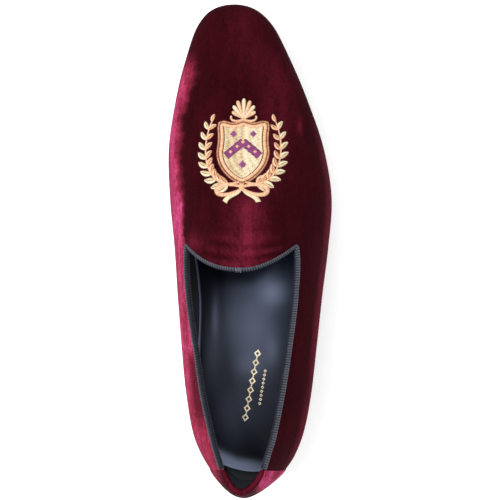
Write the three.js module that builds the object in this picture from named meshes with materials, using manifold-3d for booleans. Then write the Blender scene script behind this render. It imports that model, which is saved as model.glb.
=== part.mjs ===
// Velvet slipper-loafer, right shoe, standing on its sole.
// Millimetres. +Y runs to the toe, +X to the outer side, +Z up. The origin is on the floor, under
// the middle of the shoe's box.
import * as THREE from "three";
import Module from "manifold-3d";

const wasm = await Module();
wasm.setup();

// ---- Driving dimensions -------------------------------------------------------------------
const LENGTH = 296; // counter's bulge to toe tip
const BALL_WIDTH = 98; // upper at the ball of the foot
const INSTEP_HEIGHT = 77.5; // middle of the throat above the floor
const HEEL_HEIGHT = 18; // floor to the outsole's underside at the back
const TOE_SPRING = 9.5; // lift of the sole at the toe tip
const SOLE_THICKNESS = 4.2;
const WALL = 2; // velvet, interlining and lining together
const TAPE = 0.55; // grosgrain binding
const STRAP = 0.8; // velvet strap over the back seam
const GAP = 0.3; // left between pieces that meet

const BACK_Y = -LENGTH / 2;
const HALF_BALL = BALL_WIDTH / 2;
const SEAT_Z = SOLE_THICKNESS + GAP; // lower edge of the upper at the ball
const INNER_SIDE = -1;
const OUTER_SIDE = 1;

const steps = (count) => Array.from({ length: count + 1 }, (_, i) => i / count);
const between = THREE.MathUtils.lerp;

// Plan of the last. share runs from 0 at the back to 1 at the toe tip. ridge is the top line's X in
// mm. The other columns are distances from that line, as shares of half the ball width, at the seat
// (where upper meets sole) and at the bulge (where the upper is widest).
const PLAN = [
  { share: 0.0, ridge: -2.0, seatIn: 0.0, seatOut: 0.0, bulgeIn: 0.0, bulgeOut: 0.0 },
  { share: 0.03, ridge: -1.2, seatIn: 0.316, seatOut: 0.304, bulgeIn: 0.318, bulgeOut: 0.314 },
  { share: 0.06, ridge: -1.3, seatIn: 0.446, seatOut: 0.448, bulgeIn: 0.469, bulgeOut: 0.505 },
  { share: 0.11, ridge: -1.8, seatIn: 0.555, seatOut: 0.594, bulgeIn: 0.618, bulgeOut: 0.669 },
  { share: 0.2, ridge: -2.3, seatIn: 0.577, seatOut: 0.65, bulgeIn: 0.722, bulgeOut: 0.802 },
  { share: 0.3, ridge: -2.3, seatIn: 0.447, seatOut: 0.669, bulgeIn: 0.787, bulgeOut: 0.871 },
  { share: 0.4, ridge: -1.5, seatIn: 0.402, seatOut: 0.661, bulgeIn: 0.859, bulgeOut: 0.918 },
  { share: 0.5, ridge: -0.5, seatIn: 0.561, seatOut: 0.81, bulgeIn: 0.92, bulgeOut: 0.971 },
  { share: 0.6, ridge: -1.5, seatIn: 0.867, seatOut: 0.965, bulgeIn: 0.969, bulgeOut: 1.032 },
  { share: 0.7, ridge: -3.0, seatIn: 0.91, seatOut: 0.925, bulgeIn: 0.965, bulgeOut: 0.969 },
  { share: 0.8, ridge: -5.5, seatIn: 0.795, seatOut: 0.784, bulgeIn: 0.835, bulgeOut: 0.82 },
  { share: 0.9, ridge: -8.5, seatIn: 0.588, seatOut: 0.592, bulgeIn: 0.621, bulgeOut: 0.624 },
  { share: 0.96, ridge: -10.0, seatIn: 0.42, seatOut: 0.426, bulgeIn: 0.449, bulgeOut: 0.458 },
  { share: 0.99, ridge: -10.5, seatIn: 0.243, seatOut: 0.243, bulgeIn: 0.261, bulgeOut: 0.261 },
  { share: 1.0, ridge: -10.5, seatIn: 0.0, seatOut: 0.0, bulgeIn: 0.0, bulgeOut: 0.0 },
];

// Side view of the last. heelLift is a share of the heel height, toeLift of the toe spring. bulge is
// the widest line's height above the floor in mm. ridge is the top line's height as a share of the
// instep height; behind the throat it is the top of the last, where the shoe is open. fullIn and
// fullOut say how square the cross-section is over the bulge: 2 is an ellipse.
const PROFILE = [
  { share: 0.0, heelLift: 1.0, toeLift: 0.0, bulge: 42.0, ridge: 1.239, fullIn: 2.0, fullOut: 2.0 },
  { share: 0.06, heelLift: 0.995, toeLift: 0.0, bulge: 41.6, ridge: 1.174, fullIn: 1.61, fullOut: 1.46 },
  { share: 0.12, heelLift: 0.972, toeLift: 0.0, bulge: 40.5, ridge: 1.116, fullIn: 1.47, fullOut: 1.37 },
  { share: 0.2, heelLift: 0.917, toeLift: 0.0, bulge: 38.0, ridge: 1.058, fullIn: 1.56, fullOut: 1.38 },
  { share: 0.3, heelLift: 0.722, toeLift: 0.0, bulge: 34.5, ridge: 1.032, fullIn: 1.69, fullOut: 1.44 },
  { share: 0.4, heelLift: 0.428, toeLift: 0.0, bulge: 29.5, ridge: 1.019, fullIn: 2.03, fullOut: 1.58 },
  { share: 0.5, heelLift: 0.172, toeLift: 0.0, bulge: 24.0, ridge: 0.948, fullIn: 2.5, fullOut: 1.8 },
  { share: 0.6, heelLift: 0.02, toeLift: 0.0, bulge: 20.0, ridge: 0.806, fullIn: 2.45, fullOut: 1.95 },
  { share: 0.66, heelLift: 0.0, toeLift: 0.0, bulge: 18.3, ridge: 0.71, fullIn: 2.42, fullOut: 2.05 },
  { share: 0.74, heelLift: 0.0, toeLift: 0.0, bulge: 16.8, ridge: 0.599, fullIn: 2.38, fullOut: 2.2 },
  { share: 0.8, heelLift: 0.0, toeLift: 0.11, bulge: 16.5, ridge: 0.535, fullIn: 2.35, fullOut: 2.3 },
  { share: 0.9, heelLift: 0.0, toeLift: 0.46, bulge: 17.5, ridge: 0.465, fullIn: 2.35, fullOut: 2.35 },
  { share: 1.0, heelLift: 0.0, toeLift: 1.0, bulge: 20.0, ridge: 0.406, fullIn: 2.35, fullOut: 2.35 },
];

// Height of the collar's edge above the floor, as a share of the instep height.
const TOPLINE = [
  { share: 0.0, height: 1.032 },
  { share: 0.06, height: 0.994 },
  { share: 0.13, height: 0.91 },
  { share: 0.22, height: 0.832 },
  { share: 0.32, height: 0.787 },
  { share: 0.42, height: 0.774 },
  { share: 0.52, height: 0.781 },
];

// Throat: its edge runs from a corner on each side to its middle, which reaches furthest back.
const CORNER_SHARE = 0.503;
const THROAT_SHARE = 0.457;
const THROAT_BEND_IN = 2.6;
const THROAT_BEND_OUT = 1.75;

// Ends of the last.
const SEAT_FROM_BULGE = 6; // back of the seat, forward of the counter's bulge
const COLLAR_FROM_BULGE = 6; // back of the collar, forward of the counter's bulge
const BACK_REACH = 0.25; // share of the length over which the back's curve fades out
const BACK_BEND = 1.5;
const TOE_REACH = 0.24; // share of the length over which the toe's dome fades out
const DOME_FROM_TIP = 24; // front end of the ridge, behind the toe tip
const SEAT_FROM_TIP = 1.5; // front of the seat, behind the toe tip
const SEAT_FULLNESS = 1.7; // roundness of the upper between seat and bulge
const BULGE_RISE = 0.35; // place of the bulge on the way from seat (0) to ridge (1)
const LIP_RISE = 0.07; // below this the wall keeps one direction, so that its foot is a plain lip

// ---- Curves through tables ----------------------------------------------------------------

/** Smooth function through rows; its slope at a row is that of a parabola through three rows. */
function track(places, values) {
  const last = places.length - 1;
  const spans = places.slice(1).map((place, i) => place - places[i]);
  const chords = spans.map((span, i) => (values[i + 1] - values[i]) / span);
  const slopes = values.map((_, i) => {
    if (i === 0 || i === last) return 0;
    return (spans[i] * chords[i - 1] + spans[i - 1] * chords[i]) / (spans[i] + spans[i - 1]);
  });
  slopes[0] = 2 * chords[0] - slopes[1];
  slopes[last] = 2 * chords[last - 1] - slopes[last - 1];
  return (place) => {
    let i = 0;
    while (i < last - 1 && place >= places[i + 1]) i += 1;
    const t = (place - places[i]) / spans[i];
    const rest = 1 - t;
    const level = values[i] * (1 + 2 * t) * rest * rest + values[i + 1] * t * t * (3 - 2 * t);
    return level + spans[i] * t * rest * (slopes[i] * rest - slopes[i + 1] * t);
  };
}

const column = (rows, key, scale = 1) =>
  track(rows.map((row) => row.share), rows.map((row) => row[key] * scale));

// Widths are smooth in the turn round the outline, so that both ends are round.
const turnOf = (share) => Math.acos(1 - 2 * THREE.MathUtils.clamp(share, 0, 1));
const shareOf = (turn) => (1 - Math.cos(turn)) / 2;

function widthColumn(key) {
  const width = track(PLAN.map((row) => turnOf(row.share)), PLAN.map((row) => row[key] * HALF_BALL));
  return (share) => Math.max(0, width(turnOf(share)));
}

const ridgeX = column(PLAN, "ridge");
const ridgeZ = column(PROFILE, "ridge", INSTEP_HEIGHT);
const bulgeZ = column(PROFILE, "bulge");
const collarZ = column(TOPLINE, "height", INSTEP_HEIGHT);
const heelLift = column(PROFILE, "heelLift", HEEL_HEIGHT);
const toeLift = column(PROFILE, "toeLift", TOE_SPRING);
const seatZ = (share) => SEAT_Z + Math.max(0, heelLift(share)) + Math.max(0, toeLift(share));
const soleTopZ = (y) => seatZ((y - BACK_Y) / LENGTH) - GAP;
const soleUndersideZ = (y) => soleTopZ(y) - SOLE_THICKNESS;

const WIDTHS = {
  [INNER_SIDE]: {
    seat: widthColumn("seatIn"),
    bulge: widthColumn("bulgeIn"),
    full: column(PROFILE, "fullIn"),
  },
  [OUTER_SIDE]: {
    seat: widthColumn("seatOut"),
    bulge: widthColumn("bulgeOut"),
    full: column(PROFILE, "fullOut"),
  },
};

// ---- Form of the last ---------------------------------------------------------------------

/** Outer surface of the upper: side, share of the length, and rise from seat (0) to ridge (1). */
function lastPoint(side, share, rise) {
  const { seat, bulge, full } = WIDTHS[side];
  const squareness = 2 / full(share);
  const fadeBack = Math.max(0, 1 - share / BACK_REACH) ** 2;
  const fadeToe = Math.max(0, (share - 1 + TOE_REACH) / TOE_REACH) ** 2;
  const flatY = BACK_Y + share * LENGTH;
  if (rise < BULGE_RISE) {
    const angle = (rise / BULGE_RISE) * (Math.PI / 2);
    const outward = Math.sin(angle) ** (2 / SEAT_FULLNESS);
    const upward = 1 - Math.cos(angle) ** (2 / SEAT_FULLNESS);
    const toeY = flatY - fadeToe * SEAT_FROM_TIP * (1 - outward);
    const here = (toeY - BACK_Y) / LENGTH;
    return new THREE.Vector3(
      ridgeX(share) + side * between(seat(share), bulge(share), outward),
      toeY + fadeBack * SEAT_FROM_BULGE * (1 - outward),
      between(seatZ(here), bulgeZ(here), upward),
    );
  }
  const angle = ((rise - BULGE_RISE) / (1 - BULGE_RISE)) * (Math.PI / 2);
  const across = Math.max(0, Math.cos(angle)) ** squareness;
  const toeY = flatY - fadeToe * DOME_FROM_TIP * (1 - across);
  const here = (toeY - BACK_Y) / LENGTH;
  const z = between(bulgeZ(here), ridgeZ(here), Math.sin(angle) ** squareness);
  const climb = (z - bulgeZ(here)) / (collarZ(0) - bulgeZ(here));
  return new THREE.Vector3(
    ridgeX(share) + side * bulge(share) * across,
    toeY + fadeBack * COLLAR_FROM_BULGE * climb ** BACK_BEND,
    z,
  );
}

/** Last rise at which test still holds, found by halving. */
function riseWhere(test, low = BULGE_RISE, high = 1) {
  const HALVINGS = 40;
  for (let i = 0; i < HALVINGS; i += 1) {
    const middle = (low + high) / 2;
    if (test(middle)) low = middle;
    else high = middle;
  }
  return low;
}

const collarRise = (side, share) =>
  riseWhere((rise) => lastPoint(side, share, rise).z < collarZ(share));

/** Share and rise on the throat's edge; out runs from 0 at its middle to 1 at the corner. */
function throatPlace(side, out) {
  const bend = side === INNER_SIDE ? THROAT_BEND_IN : THROAT_BEND_OUT;
  const share = between(THROAT_SHARE, CORNER_SHARE, out ** bend);
  if (out === 0) return { share, rise: 1 };
  const cornerX = lastPoint(side, CORNER_SHARE, collarRise(side, CORNER_SHARE)).x;
  const x = between(ridgeX(THROAT_SHARE), cornerX, out);
  return { share, rise: riseWhere((rise) => (lastPoint(side, share, rise).x - x) * side > 0) };
}

/** Outward normal of the last's surface. On the middle line it has no sideways share. */
function lastNormal(side, share, rise) {
  const STEP = 0.004;
  const turn = turnOf(share);
  const turns = [Math.max(turn - STEP, 0), Math.min(turn + STEP, Math.PI)];
  const rises = [Math.max(rise - STEP, 0), Math.min(rise + STEP, 1)];
  const along = lastPoint(side, shareOf(turns[1]), rise).sub(lastPoint(side, shareOf(turns[0]), rise));
  const up = lastPoint(side, share, rises[1]).sub(lastPoint(side, share, rises[0]));
  if (share === 0) return new THREE.Vector3(0, -up.z, up.y).normalize();
  if (share === 1) return new THREE.Vector3(0, up.z, -up.y).normalize();
  if (rise === 1) return new THREE.Vector3(0, -along.z, along.y).normalize();
  return along.cross(up).multiplyScalar(side).normalize();
}

/** Point of the wall, distance mm out from the upper's outer surface (negative is inward). */
function wallPoint(side, share, rise, distance) {
  const normal = lastNormal(side, share, Math.max(rise, LIP_RISE));
  return lastPoint(side, share, rise).addScaledVector(normal, distance);
}

// ---- Ribs: lines up the last that end on the collar, the throat or the ridge ---------------

const STRAP_SHARE = 0.055; // side edges of the back strap
const STRAP_RIBS = 6;
const COLLAR_RIBS = 18;
const THROAT_RIBS = 9;
const VAMP_RIBS = 23;
const THROAT_FOOT_SHARE = 0.565; // foot of the rib that ends at the throat's middle
const CORNER_HASTE = 2;
const LOW_STEPS = 5; // seat to bulge
const HIGH_STEPS = 10; // bulge to the rib's top

/**
 * Ribs of one side, back to toe: share at the foot, share and rise at the top. haste is how early a
 * rib does its rising: a rib near the throat's corner climbs first and turns back to the edge late.
 */
function ribsOf(side) {
  const collarRib = (share, haste = 1) =>
    ({ foot: share, top: share, rise: collarRise(side, share), haste });
  const strapTurn = turnOf(STRAP_SHARE);
  const cornerTurn = turnOf(CORNER_SHARE);
  const throatTurn = turnOf(THROAT_FOOT_SHARE);
  const strap = steps(STRAP_RIBS).map((t) => collarRib(shareOf(strapTurn * t)));
  const collar = steps(COLLAR_RIBS).slice(1)
    .map((t) => collarRib(shareOf(between(strapTurn, cornerTurn, t)), between(1, CORNER_HASTE, t * t)));
  const throat = steps(THROAT_RIBS).slice(1).map((t) => {
    const place = throatPlace(side, 1 - t);
    const foot = between(CORNER_SHARE, THROAT_FOOT_SHARE, t);
    return { foot, top: place.share, rise: place.rise, haste: between(CORNER_HASTE, 1, t) };
  });
  const vamp = steps(VAMP_RIBS).slice(1).map((t) => {
    const foot = t === 1 ? 1 : shareOf(between(throatTurn, Math.PI, t));
    const onward = (foot - THROAT_FOOT_SHARE) / (1 - THROAT_FOOT_SHARE);
    return { foot, top: between(THROAT_SHARE, 1, onward), rise: 1, haste: 1 };
  });
  return [...strap, ...collar, ...throat, ...vamp];
}

/** Places up one rib, seat to top. */
function placesOn(rib) {
  const low = steps(LOW_STEPS).map((t) => ({ share: rib.foot, rise: BULGE_RISE * t }));
  const high = steps(HIGH_STEPS).slice(1).map((t) => ({
    share: between(rib.foot, rib.top, t * t),
    rise: between(BULGE_RISE, rib.rise, 1 - (1 - t) ** rib.haste),
  }));
  return [...low, ...high];
}

const RIBS = { [INNER_SIDE]: ribsOf(INNER_SIDE), [OUTER_SIDE]: ribsOf(OUTER_SIDE) };

// ---- Solids from rows of pairs ------------------------------------------------------------

/** Gives points that fall together one number and drops the faces that vanish. */
function weld(points, faces) {
  const PLACES_PER_MM = 2000;
  const numbers = new Map();
  const kept = [];
  const numberOf = points.map((point) => {
    const key = point.toArray().map((value) => Math.round(value * PLACES_PER_MM)).join();
    if (!numbers.has(key)) numbers.set(key, kept.push(point) - 1);
    return numbers.get(key);
  });
  const whole = faces.map((face) => face.map((i) => numberOf[i]))
    .filter(([a, b, c]) => a !== b && b !== c && c !== a);
  return { points: kept, faces: whole };
}

/**
 * Closed solid from rows of [front, back] pairs of points. Fronts face out to the right of the way
 * the rows run, and pairs run upward. A loop's last row meets its first. sealed says which rows
 * have their top pair on a line where the fronts meet one another, so that no rim is made there.
 */
function pairedSolid(rows, { loop = false, sealed = () => false } = {}) {
  const pairs = rows[0].length;
  const points = rows.flat(2);
  const front = (row, j) => ((row % rows.length) * pairs + j) * 2;
  const back = (row, j) => front(row, j) + 1;
  const faces = [];
  const quad = (a, b, c, d) => faces.push([a, b, c], [a, c, d]);
  const top = pairs - 1;
  const spans = loop ? rows.length : rows.length - 1;
  for (let r = 0; r < spans; r += 1) {
    for (let j = 0; j < top; j += 1) {
      quad(front(r, j), front(r + 1, j), front(r + 1, j + 1), front(r, j + 1));
      quad(back(r, j), back(r, j + 1), back(r + 1, j + 1), back(r + 1, j));
    }
    quad(front(r + 1, 0), front(r, 0), back(r, 0), back(r + 1, 0));
    if (!(sealed(r) && sealed((r + 1) % rows.length))) {
      quad(front(r, top), front(r + 1, top), back(r + 1, top), back(r, top));
    }
  }
  if (!loop) {
    const end = rows.length - 1;
    for (let j = 0; j < top; j += 1) {
      quad(front(0, j), front(0, j + 1), back(0, j + 1), back(0, j));
      quad(front(end, j), back(end, j), back(end, j + 1), front(end, j + 1));
    }
  }
  return weld(points, faces);
}

function toManifold({ points, faces }) {
  return new wasm.Manifold(new wasm.Mesh({
    numProp: 3,
    vertProperties: new Float32Array(points.flatMap((point) => point.toArray())),
    triVerts: new Uint32Array(faces.flat()),
  }));
}

function fromManifold(manifold) {
  const { vertProperties, triVerts, numProp } = manifold.getMesh();
  const points = [];
  for (let i = 0; i < vertProperties.length; i += numProp) {
    points.push(new THREE.Vector3().fromArray(vertProperties, i));
  }
  const faces = [];
  for (let i = 0; i < triVerts.length; i += 3) faces.push([...triVerts.slice(i, i + 3)]);
  return { points, faces };
}

/** Closed solid of a three.js geometry, for cutting with. */
function geometrySolid(geometry) {
  const position = geometry.getAttribute("position");
  const points = steps(position.count - 1)
    .map((_, i) => new THREE.Vector3().fromBufferAttribute(position, i));
  const order = geometry.index ? [...geometry.index.array] : points.map((_, i) => i);
  const faces = [];
  for (let i = 0; i < order.length; i += 3) faces.push(order.slice(i, i + 3));
  return weld(points, faces);
}

function toMesh(name, solid, { color, roughness, metalness = 0 }) {
  const geometry = new THREE.BufferGeometry();
  const values = solid.points.flatMap((point) => point.toArray());
  geometry.setAttribute("position", new THREE.Float32BufferAttribute(values, 3));
  geometry.setIndex(solid.faces.flat());
  geometry.computeVertexNormals();
  const mesh = new THREE.Mesh(geometry, new THREE.MeshStandardMaterial({ color, roughness, metalness }));
  mesh.name = name;
  return mesh;
}

// ---- Upper --------------------------------------------------------------------------------

/** Vamp and quarters in one wall: up the outer side's ribs from back to toe, then home again. */
function buildUpper() {
  const there = RIBS[OUTER_SIDE].map((rib) => ({ side: OUTER_SIDE, rib }));
  const home = RIBS[INNER_SIDE].slice(1, -1).reverse().map((rib) => ({ side: INNER_SIDE, rib }));
  const loop = [...there, ...home];
  const rows = loop.map(({ side, rib }) => placesOn(rib).map(({ share, rise }) =>
    [lastPoint(side, share, rise), wallPoint(side, share, rise, -WALL)]));
  return pairedSolid(rows, { loop: true, sealed: (row) => loop[row].rib.rise === 1 });
}

// ---- Edge of the collar and throat --------------------------------------------------------

/** Stations on the upper's top edge, from the outer side's strap edge round to the inner side's. */
function edgeStations() {
  const open = (side) => RIBS[side].slice(STRAP_RIBS).filter((rib, i, ribs) =>
    rib.rise < 1 || ribs[i - 1].rise < 1);
  const outer = open(OUTER_SIDE).map((rib) => ({ side: OUTER_SIDE, rib }));
  const inner = open(INNER_SIDE).slice(0, -1).reverse().map((rib) => ({ side: INNER_SIDE, rib }));
  return [...outer, ...inner].map(({ side, rib }) => ({
    point: lastPoint(side, rib.top, rib.rise),
    normal: lastNormal(side, rib.top, rib.rise),
  }));
}

// Section of the binding: outer and inner line of the folded tape, as [out of the wall's middle,
// up from the edge] in mm.
const TAPE_GAP = 0.5; // to the wall, which bends under the straight legs of the tape
const TAPE_IN = WALL / 2 + TAPE_GAP;
const TAPE_OUT = TAPE_IN + TAPE;
const TAPE_LEG = 1.4;
const TAPE_BEND = 0.5;
const TAPE_END_GAP = 0.9; // to the edges of the back strap
const SHARPEST_MITRE = 0.62; // least cosine of half a turn that the mitre opens for
const TAPE_SECTION = [
  { front: [TAPE_OUT, -TAPE_LEG], back: [TAPE_IN, -TAPE_LEG] },
  { front: [TAPE_OUT, GAP + TAPE - TAPE_BEND], back: [TAPE_IN, GAP - TAPE_BEND / 2] },
  { front: [TAPE_OUT - TAPE_BEND, GAP + TAPE], back: [TAPE_IN - TAPE_BEND / 2, GAP] },
  { front: [TAPE_BEND - TAPE_OUT, GAP + TAPE], back: [TAPE_BEND / 2 - TAPE_IN, GAP] },
  { front: [-TAPE_OUT, GAP + TAPE - TAPE_BEND], back: [-TAPE_IN, GAP - TAPE_BEND / 2] },
  { front: [-TAPE_OUT, -TAPE_LEG], back: [-TAPE_IN, -TAPE_LEG] },
];

/** Grosgrain tape folded over the edge, mitred at the two corners of the throat. */
function buildBinding() {
  const stations = edgeStations();
  const last = stations.length - 1;
  const heading = (i) => stations[i + 1].point.clone().sub(stations[i].point).normalize();
  const rows = stations.map(({ point, normal }, i) => {
    const into = heading(Math.max(i - 1, 0));
    const onto = heading(Math.min(i, last - 1));
    const tangent = into.clone().add(onto).normalize();
    const outward = normal.clone().addScaledVector(tangent, -normal.dot(tangent)).normalize();
    const up = outward.clone().cross(tangent).normalize();
    const mitre = 1 / Math.max(tangent.dot(onto), SHARPEST_MITRE);
    const start = point.clone().addScaledVector(normal, -WALL / 2);
    if (i === 0) start.addScaledVector(tangent, TAPE_END_GAP);
    if (i === last) start.addScaledVector(tangent, -TAPE_END_GAP);
    const place = ([out, rise]) => start.clone().addScaledVector(outward, out)
      .addScaledVector(up, rise * mitre);
    return TAPE_SECTION.map(({ front, back }) => [place(front), place(back)]);
  });
  return pairedSolid(rows);
}

// ---- Back strap ---------------------------------------------------------------------------

const STRAP_FOOT_RISE = 0.09;
const STRAP_STEPS = 12;
const STRAP_INSIDE_RISE = 0.1; // how far down the inside it reaches
const STRAP_INSIDE_STEPS = 3;

/** Velvet strap over the back seam, up the outside, over the edge and down the inside. */
function buildBackStrap() {
  const face = GAP + STRAP;
  const sectionAt = (side, rib) => {
    const outside = steps(STRAP_STEPS).map((t) => between(STRAP_FOOT_RISE, rib.rise, t))
      .map((rise) => [wallPoint(side, rib.foot, rise, face), wallPoint(side, rib.foot, rise, GAP)]);
    const inside = steps(STRAP_INSIDE_STEPS).map((t) => rib.rise - STRAP_INSIDE_RISE * t)
      .map((rise) => [
        wallPoint(side, rib.foot, rise, -WALL - face), wallPoint(side, rib.foot, rise, -WALL - GAP)]);
    const up = lastPoint(side, rib.foot, rib.rise)
      .sub(lastPoint(side, rib.foot, rib.rise - STRAP_INSIDE_RISE / 4)).normalize();
    const over = [outside.at(-1), inside[0]].map(([front, back]) =>
      [front.clone().addScaledVector(up, face), back.clone().addScaledVector(up, GAP)]);
    return [...outside, ...over, ...inside];
  };
  const ribs = (side) => RIBS[side].slice(0, STRAP_RIBS + 1);
  const rows = [
    ...ribs(INNER_SIDE).slice(1).reverse().map((rib) => sectionAt(INNER_SIDE, rib)),
    ...ribs(OUTER_SIDE).map((rib) => sectionAt(OUTER_SIDE, rib)),
  ];
  return pairedSolid(rows);
}

// ---- Plates cut to the seat's outline -----------------------------------------------------

/** Seat's outline, margin mm further out, with the direction out of it. */
function seatEdge(side, share, margin) {
  const STEP = 0.01;
  const turn = turnOf(share);
  const ahead = lastPoint(side, shareOf(Math.min(turn + STEP, Math.PI)), 0);
  const behind = lastPoint(side, shareOf(Math.max(turn - STEP, 0)), 0);
  const out = new THREE.Vector3(ahead.y - behind.y, behind.x - ahead.x, 0).multiplyScalar(side);
  if (share === 0) out.set(0, -1, 0);
  if (share === 1) out.set(0, 1, 0);
  out.normalize();
  return { point: lastPoint(side, share, 0).addScaledVector(out, margin), out };
}

const at = (point, z) => new THREE.Vector3(point.x, point.y, z);
const PLATE_ROWS = 46;
const PLATE_SHARES = steps(PLATE_ROWS).map((t) => (t === 1 ? 1 : shareOf(Math.PI * t)));

const SOLE_MARGIN = 1; // sole's edge beyond the seat
const SOLE_BEVEL = 1;

/** Leather outsole: one thickness that follows heel, waist, ball and toe spring. */
function buildOutsole() {
  const rows = PLATE_SHARES.map((share) => {
    const edges = [OUTER_SIDE, INNER_SIDE].map((side) => ({
      full: seatEdge(side, share, SOLE_MARGIN).point,
      bevelled: seatEdge(side, share, SOLE_MARGIN - SOLE_BEVEL).point,
    }));
    return [
      edges.map(({ bevelled }) => at(bevelled, soleUndersideZ(bevelled.y))),
      edges.map(({ full }) => at(full, soleUndersideZ(full.y) + SOLE_BEVEL)),
      edges.map(({ full }) => at(full, soleTopZ(full.y))),
    ];
  });
  return pairedSolid(rows);
}

const INSOLE_RISE = 3.2; // insole's edge above the seat
const INSOLE_EDGE = 0.9;

/** Insole with its sock: fills the seat between the walls and spreads over their turned-in foot. */
function buildInsole() {
  const edgeOf = (side, share) => {
    const seat = lastPoint(side, share, 0).z;
    const rise = riseWhere((r) => wallPoint(side, share, r, -WALL).z < seat + INSOLE_RISE, 0, BULGE_RISE);
    return wallPoint(side, share, rise, -WALL - GAP);
  };
  const rows = PLATE_SHARES.map((share) => {
    const sides = [OUTER_SIDE, INNER_SIDE].map((side) => ({
      foot: seatEdge(side, share, -WALL - GAP).point,
      edge: edgeOf(side, share),
    }));
    const footZ = ({ foot }) => soleTopZ(foot.y) + GAP;
    return [
      sides.map((s) => at(s.foot, footZ(s))),
      sides.map((s) => at(s.foot, footZ(s) + WALL + GAP)),
      sides.map((s) => s.edge),
      sides.map((s) => at(s.edge, s.edge.z + INSOLE_EDGE)),
    ];
  });
  return pairedSolid(rows);
}

// ---- Heel ---------------------------------------------------------------------------------

const TOP_LIFT = 6;
const HEEL_TAPER = 1.2; // sides lean in from seat to floor
const HEEL_PITCH = 2.6; // back leans in from seat to floor
const HEEL_SHARE = 0.2; // from here the sides run straight on to the breast
const HEEL_ROWS = 14;
const STRAIGHT_ROWS = 4;
const HEEL_FRONT_Y = -54; // ahead of the breast, cut away by it
const BREAST_RADIUS = 90;
const BREAST_CENTRE = new THREE.Vector3(9.3, 20.4, HEEL_HEIGHT / 2);
const BREAST_SIDES = 160;
const BREAST_CUTTER = 4 * HEEL_HEIGHT; // height of the cylinder that hollows the breast

/** Heel's outline on one level: [outer, inner] points of each row from back to front. */
function heelOutline(levelOf) {
  const edge = (side, share, straightY) => {
    const { point: full, out } = seatEdge(side, share, SOLE_MARGIN);
    const z = levelOf(straightY ?? full.y);
    const lean = (1 - z / HEEL_HEIGHT) * between(HEEL_TAPER, HEEL_PITCH, Math.abs(out.y));
    const point = at(full.addScaledVector(out, -lean), z);
    if (straightY !== undefined) point.y = straightY;
    return point;
  };
  const round = steps(HEEL_ROWS).map((t) => shareOf(turnOf(HEEL_SHARE) * t));
  const straightFrom = BACK_Y + HEEL_SHARE * LENGTH;
  const straight = steps(STRAIGHT_ROWS).slice(1).map((t) => between(straightFrom, HEEL_FRONT_Y, t));
  const both = (share, y) => [OUTER_SIDE, INNER_SIDE].map((side) => edge(side, share, y));
  return [...round.map((share) => both(share)), ...straight.map((y) => both(HEEL_SHARE, y))];
}

/** Solid between two levels of the heel, hollowed at the breast. */
function heelBlock(...levels) {
  const outlines = levels.map(heelOutline);
  const rows = outlines[0].map((_, row) => outlines.map((outline) => outline[row]));
  const breast = new THREE.CylinderGeometry(BREAST_RADIUS, BREAST_RADIUS, BREAST_CUTTER, BREAST_SIDES);
  breast.rotateX(Math.PI / 2);
  breast.translate(...BREAST_CENTRE.toArray());
  return toManifold(pairedSolid(rows)).subtract(toManifold(geometrySolid(breast)));
}

const buildHeelStack = () =>
  fromManifold(heelBlock(() => TOP_LIFT + GAP, (y) => soleUndersideZ(y) - GAP));

// Slanted joint between the leather and the rubber of the top lift.
const JOINT_OUTER = new THREE.Vector3(31, -101, 0);
const JOINT_INNER = new THREE.Vector3(-31, -115.5, 0);
const NAIL_RADIUS = 1.3;
const NAIL_LENGTH = 3;
const NAIL_SIDES = 16;
const NAIL_INSET = 0.1; // heads sit this far above the floor
const HOLE_OVERRUN = 1; // how far a nail's hole is cut on below the lift
const NAILS = [
  { x: 25, y: -76 },
  { x: 24, y: -93 },
  { x: -17, y: -72 },
  { x: -20.5, y: -88 },
  { x: -23.5, y: -104 },
];

/** Box that holds everything on one side of the slanted joint; direction 1 is behind it. */
function jointSide(direction) {
  const SPAN = 200;
  const slant = Math.atan2(JOINT_OUTER.y - JOINT_INNER.y, JOINT_OUTER.x - JOINT_INNER.x);
  const box = new THREE.BoxGeometry(SPAN, SPAN, SPAN);
  box.translate(0, -direction * (SPAN / 2 + GAP / 2), 0);
  box.rotateZ(slant);
  const middle = JOINT_OUTER.clone().add(JOINT_INNER).divideScalar(2);
  box.translate(...middle.toArray());
  return toManifold(geometrySolid(box));
}

function nailSolid({ x, y }, radius, base, length) {
  const nail = new THREE.CylinderGeometry(radius, radius, length, NAIL_SIDES);
  nail.rotateX(Math.PI / 2);
  nail.translate(x, y, base + length / 2);
  return geometrySolid(nail);
}

const topLift = () => heelBlock(() => 0, () => TOP_LIFT);

function buildLeatherLift() {
  const lift = topLift().intersect(jointSide(-1));
  const depth = HOLE_OVERRUN + NAIL_LENGTH + GAP;
  const holes = NAILS.map((nail) => nailSolid(nail, NAIL_RADIUS + GAP, -HOLE_OVERRUN, depth));
  return fromManifold(holes.reduce((left, hole) => left.subtract(toManifold(hole)), lift));
}

const buildRubberLift = () => fromManifold(topLift().intersect(jointSide(1)));

// ---- Assembly -----------------------------------------------------------------------------

const VELVET = { color: 0x4a0c1a, roughness: 0.9 };
const GROSGRAIN = { color: 0x23242e, roughness: 0.75 };
const SOLE_LEATHER = { color: 0x1d1e22, roughness: 0.35 };
const SOCK_LEATHER = { color: 0x252a35, roughness: 0.5 };
const RUBBER = { color: 0x24262b, roughness: 0.6 };
const COPPER = { color: 0xa8714f, roughness: 0.4, metalness: 1 };

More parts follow.
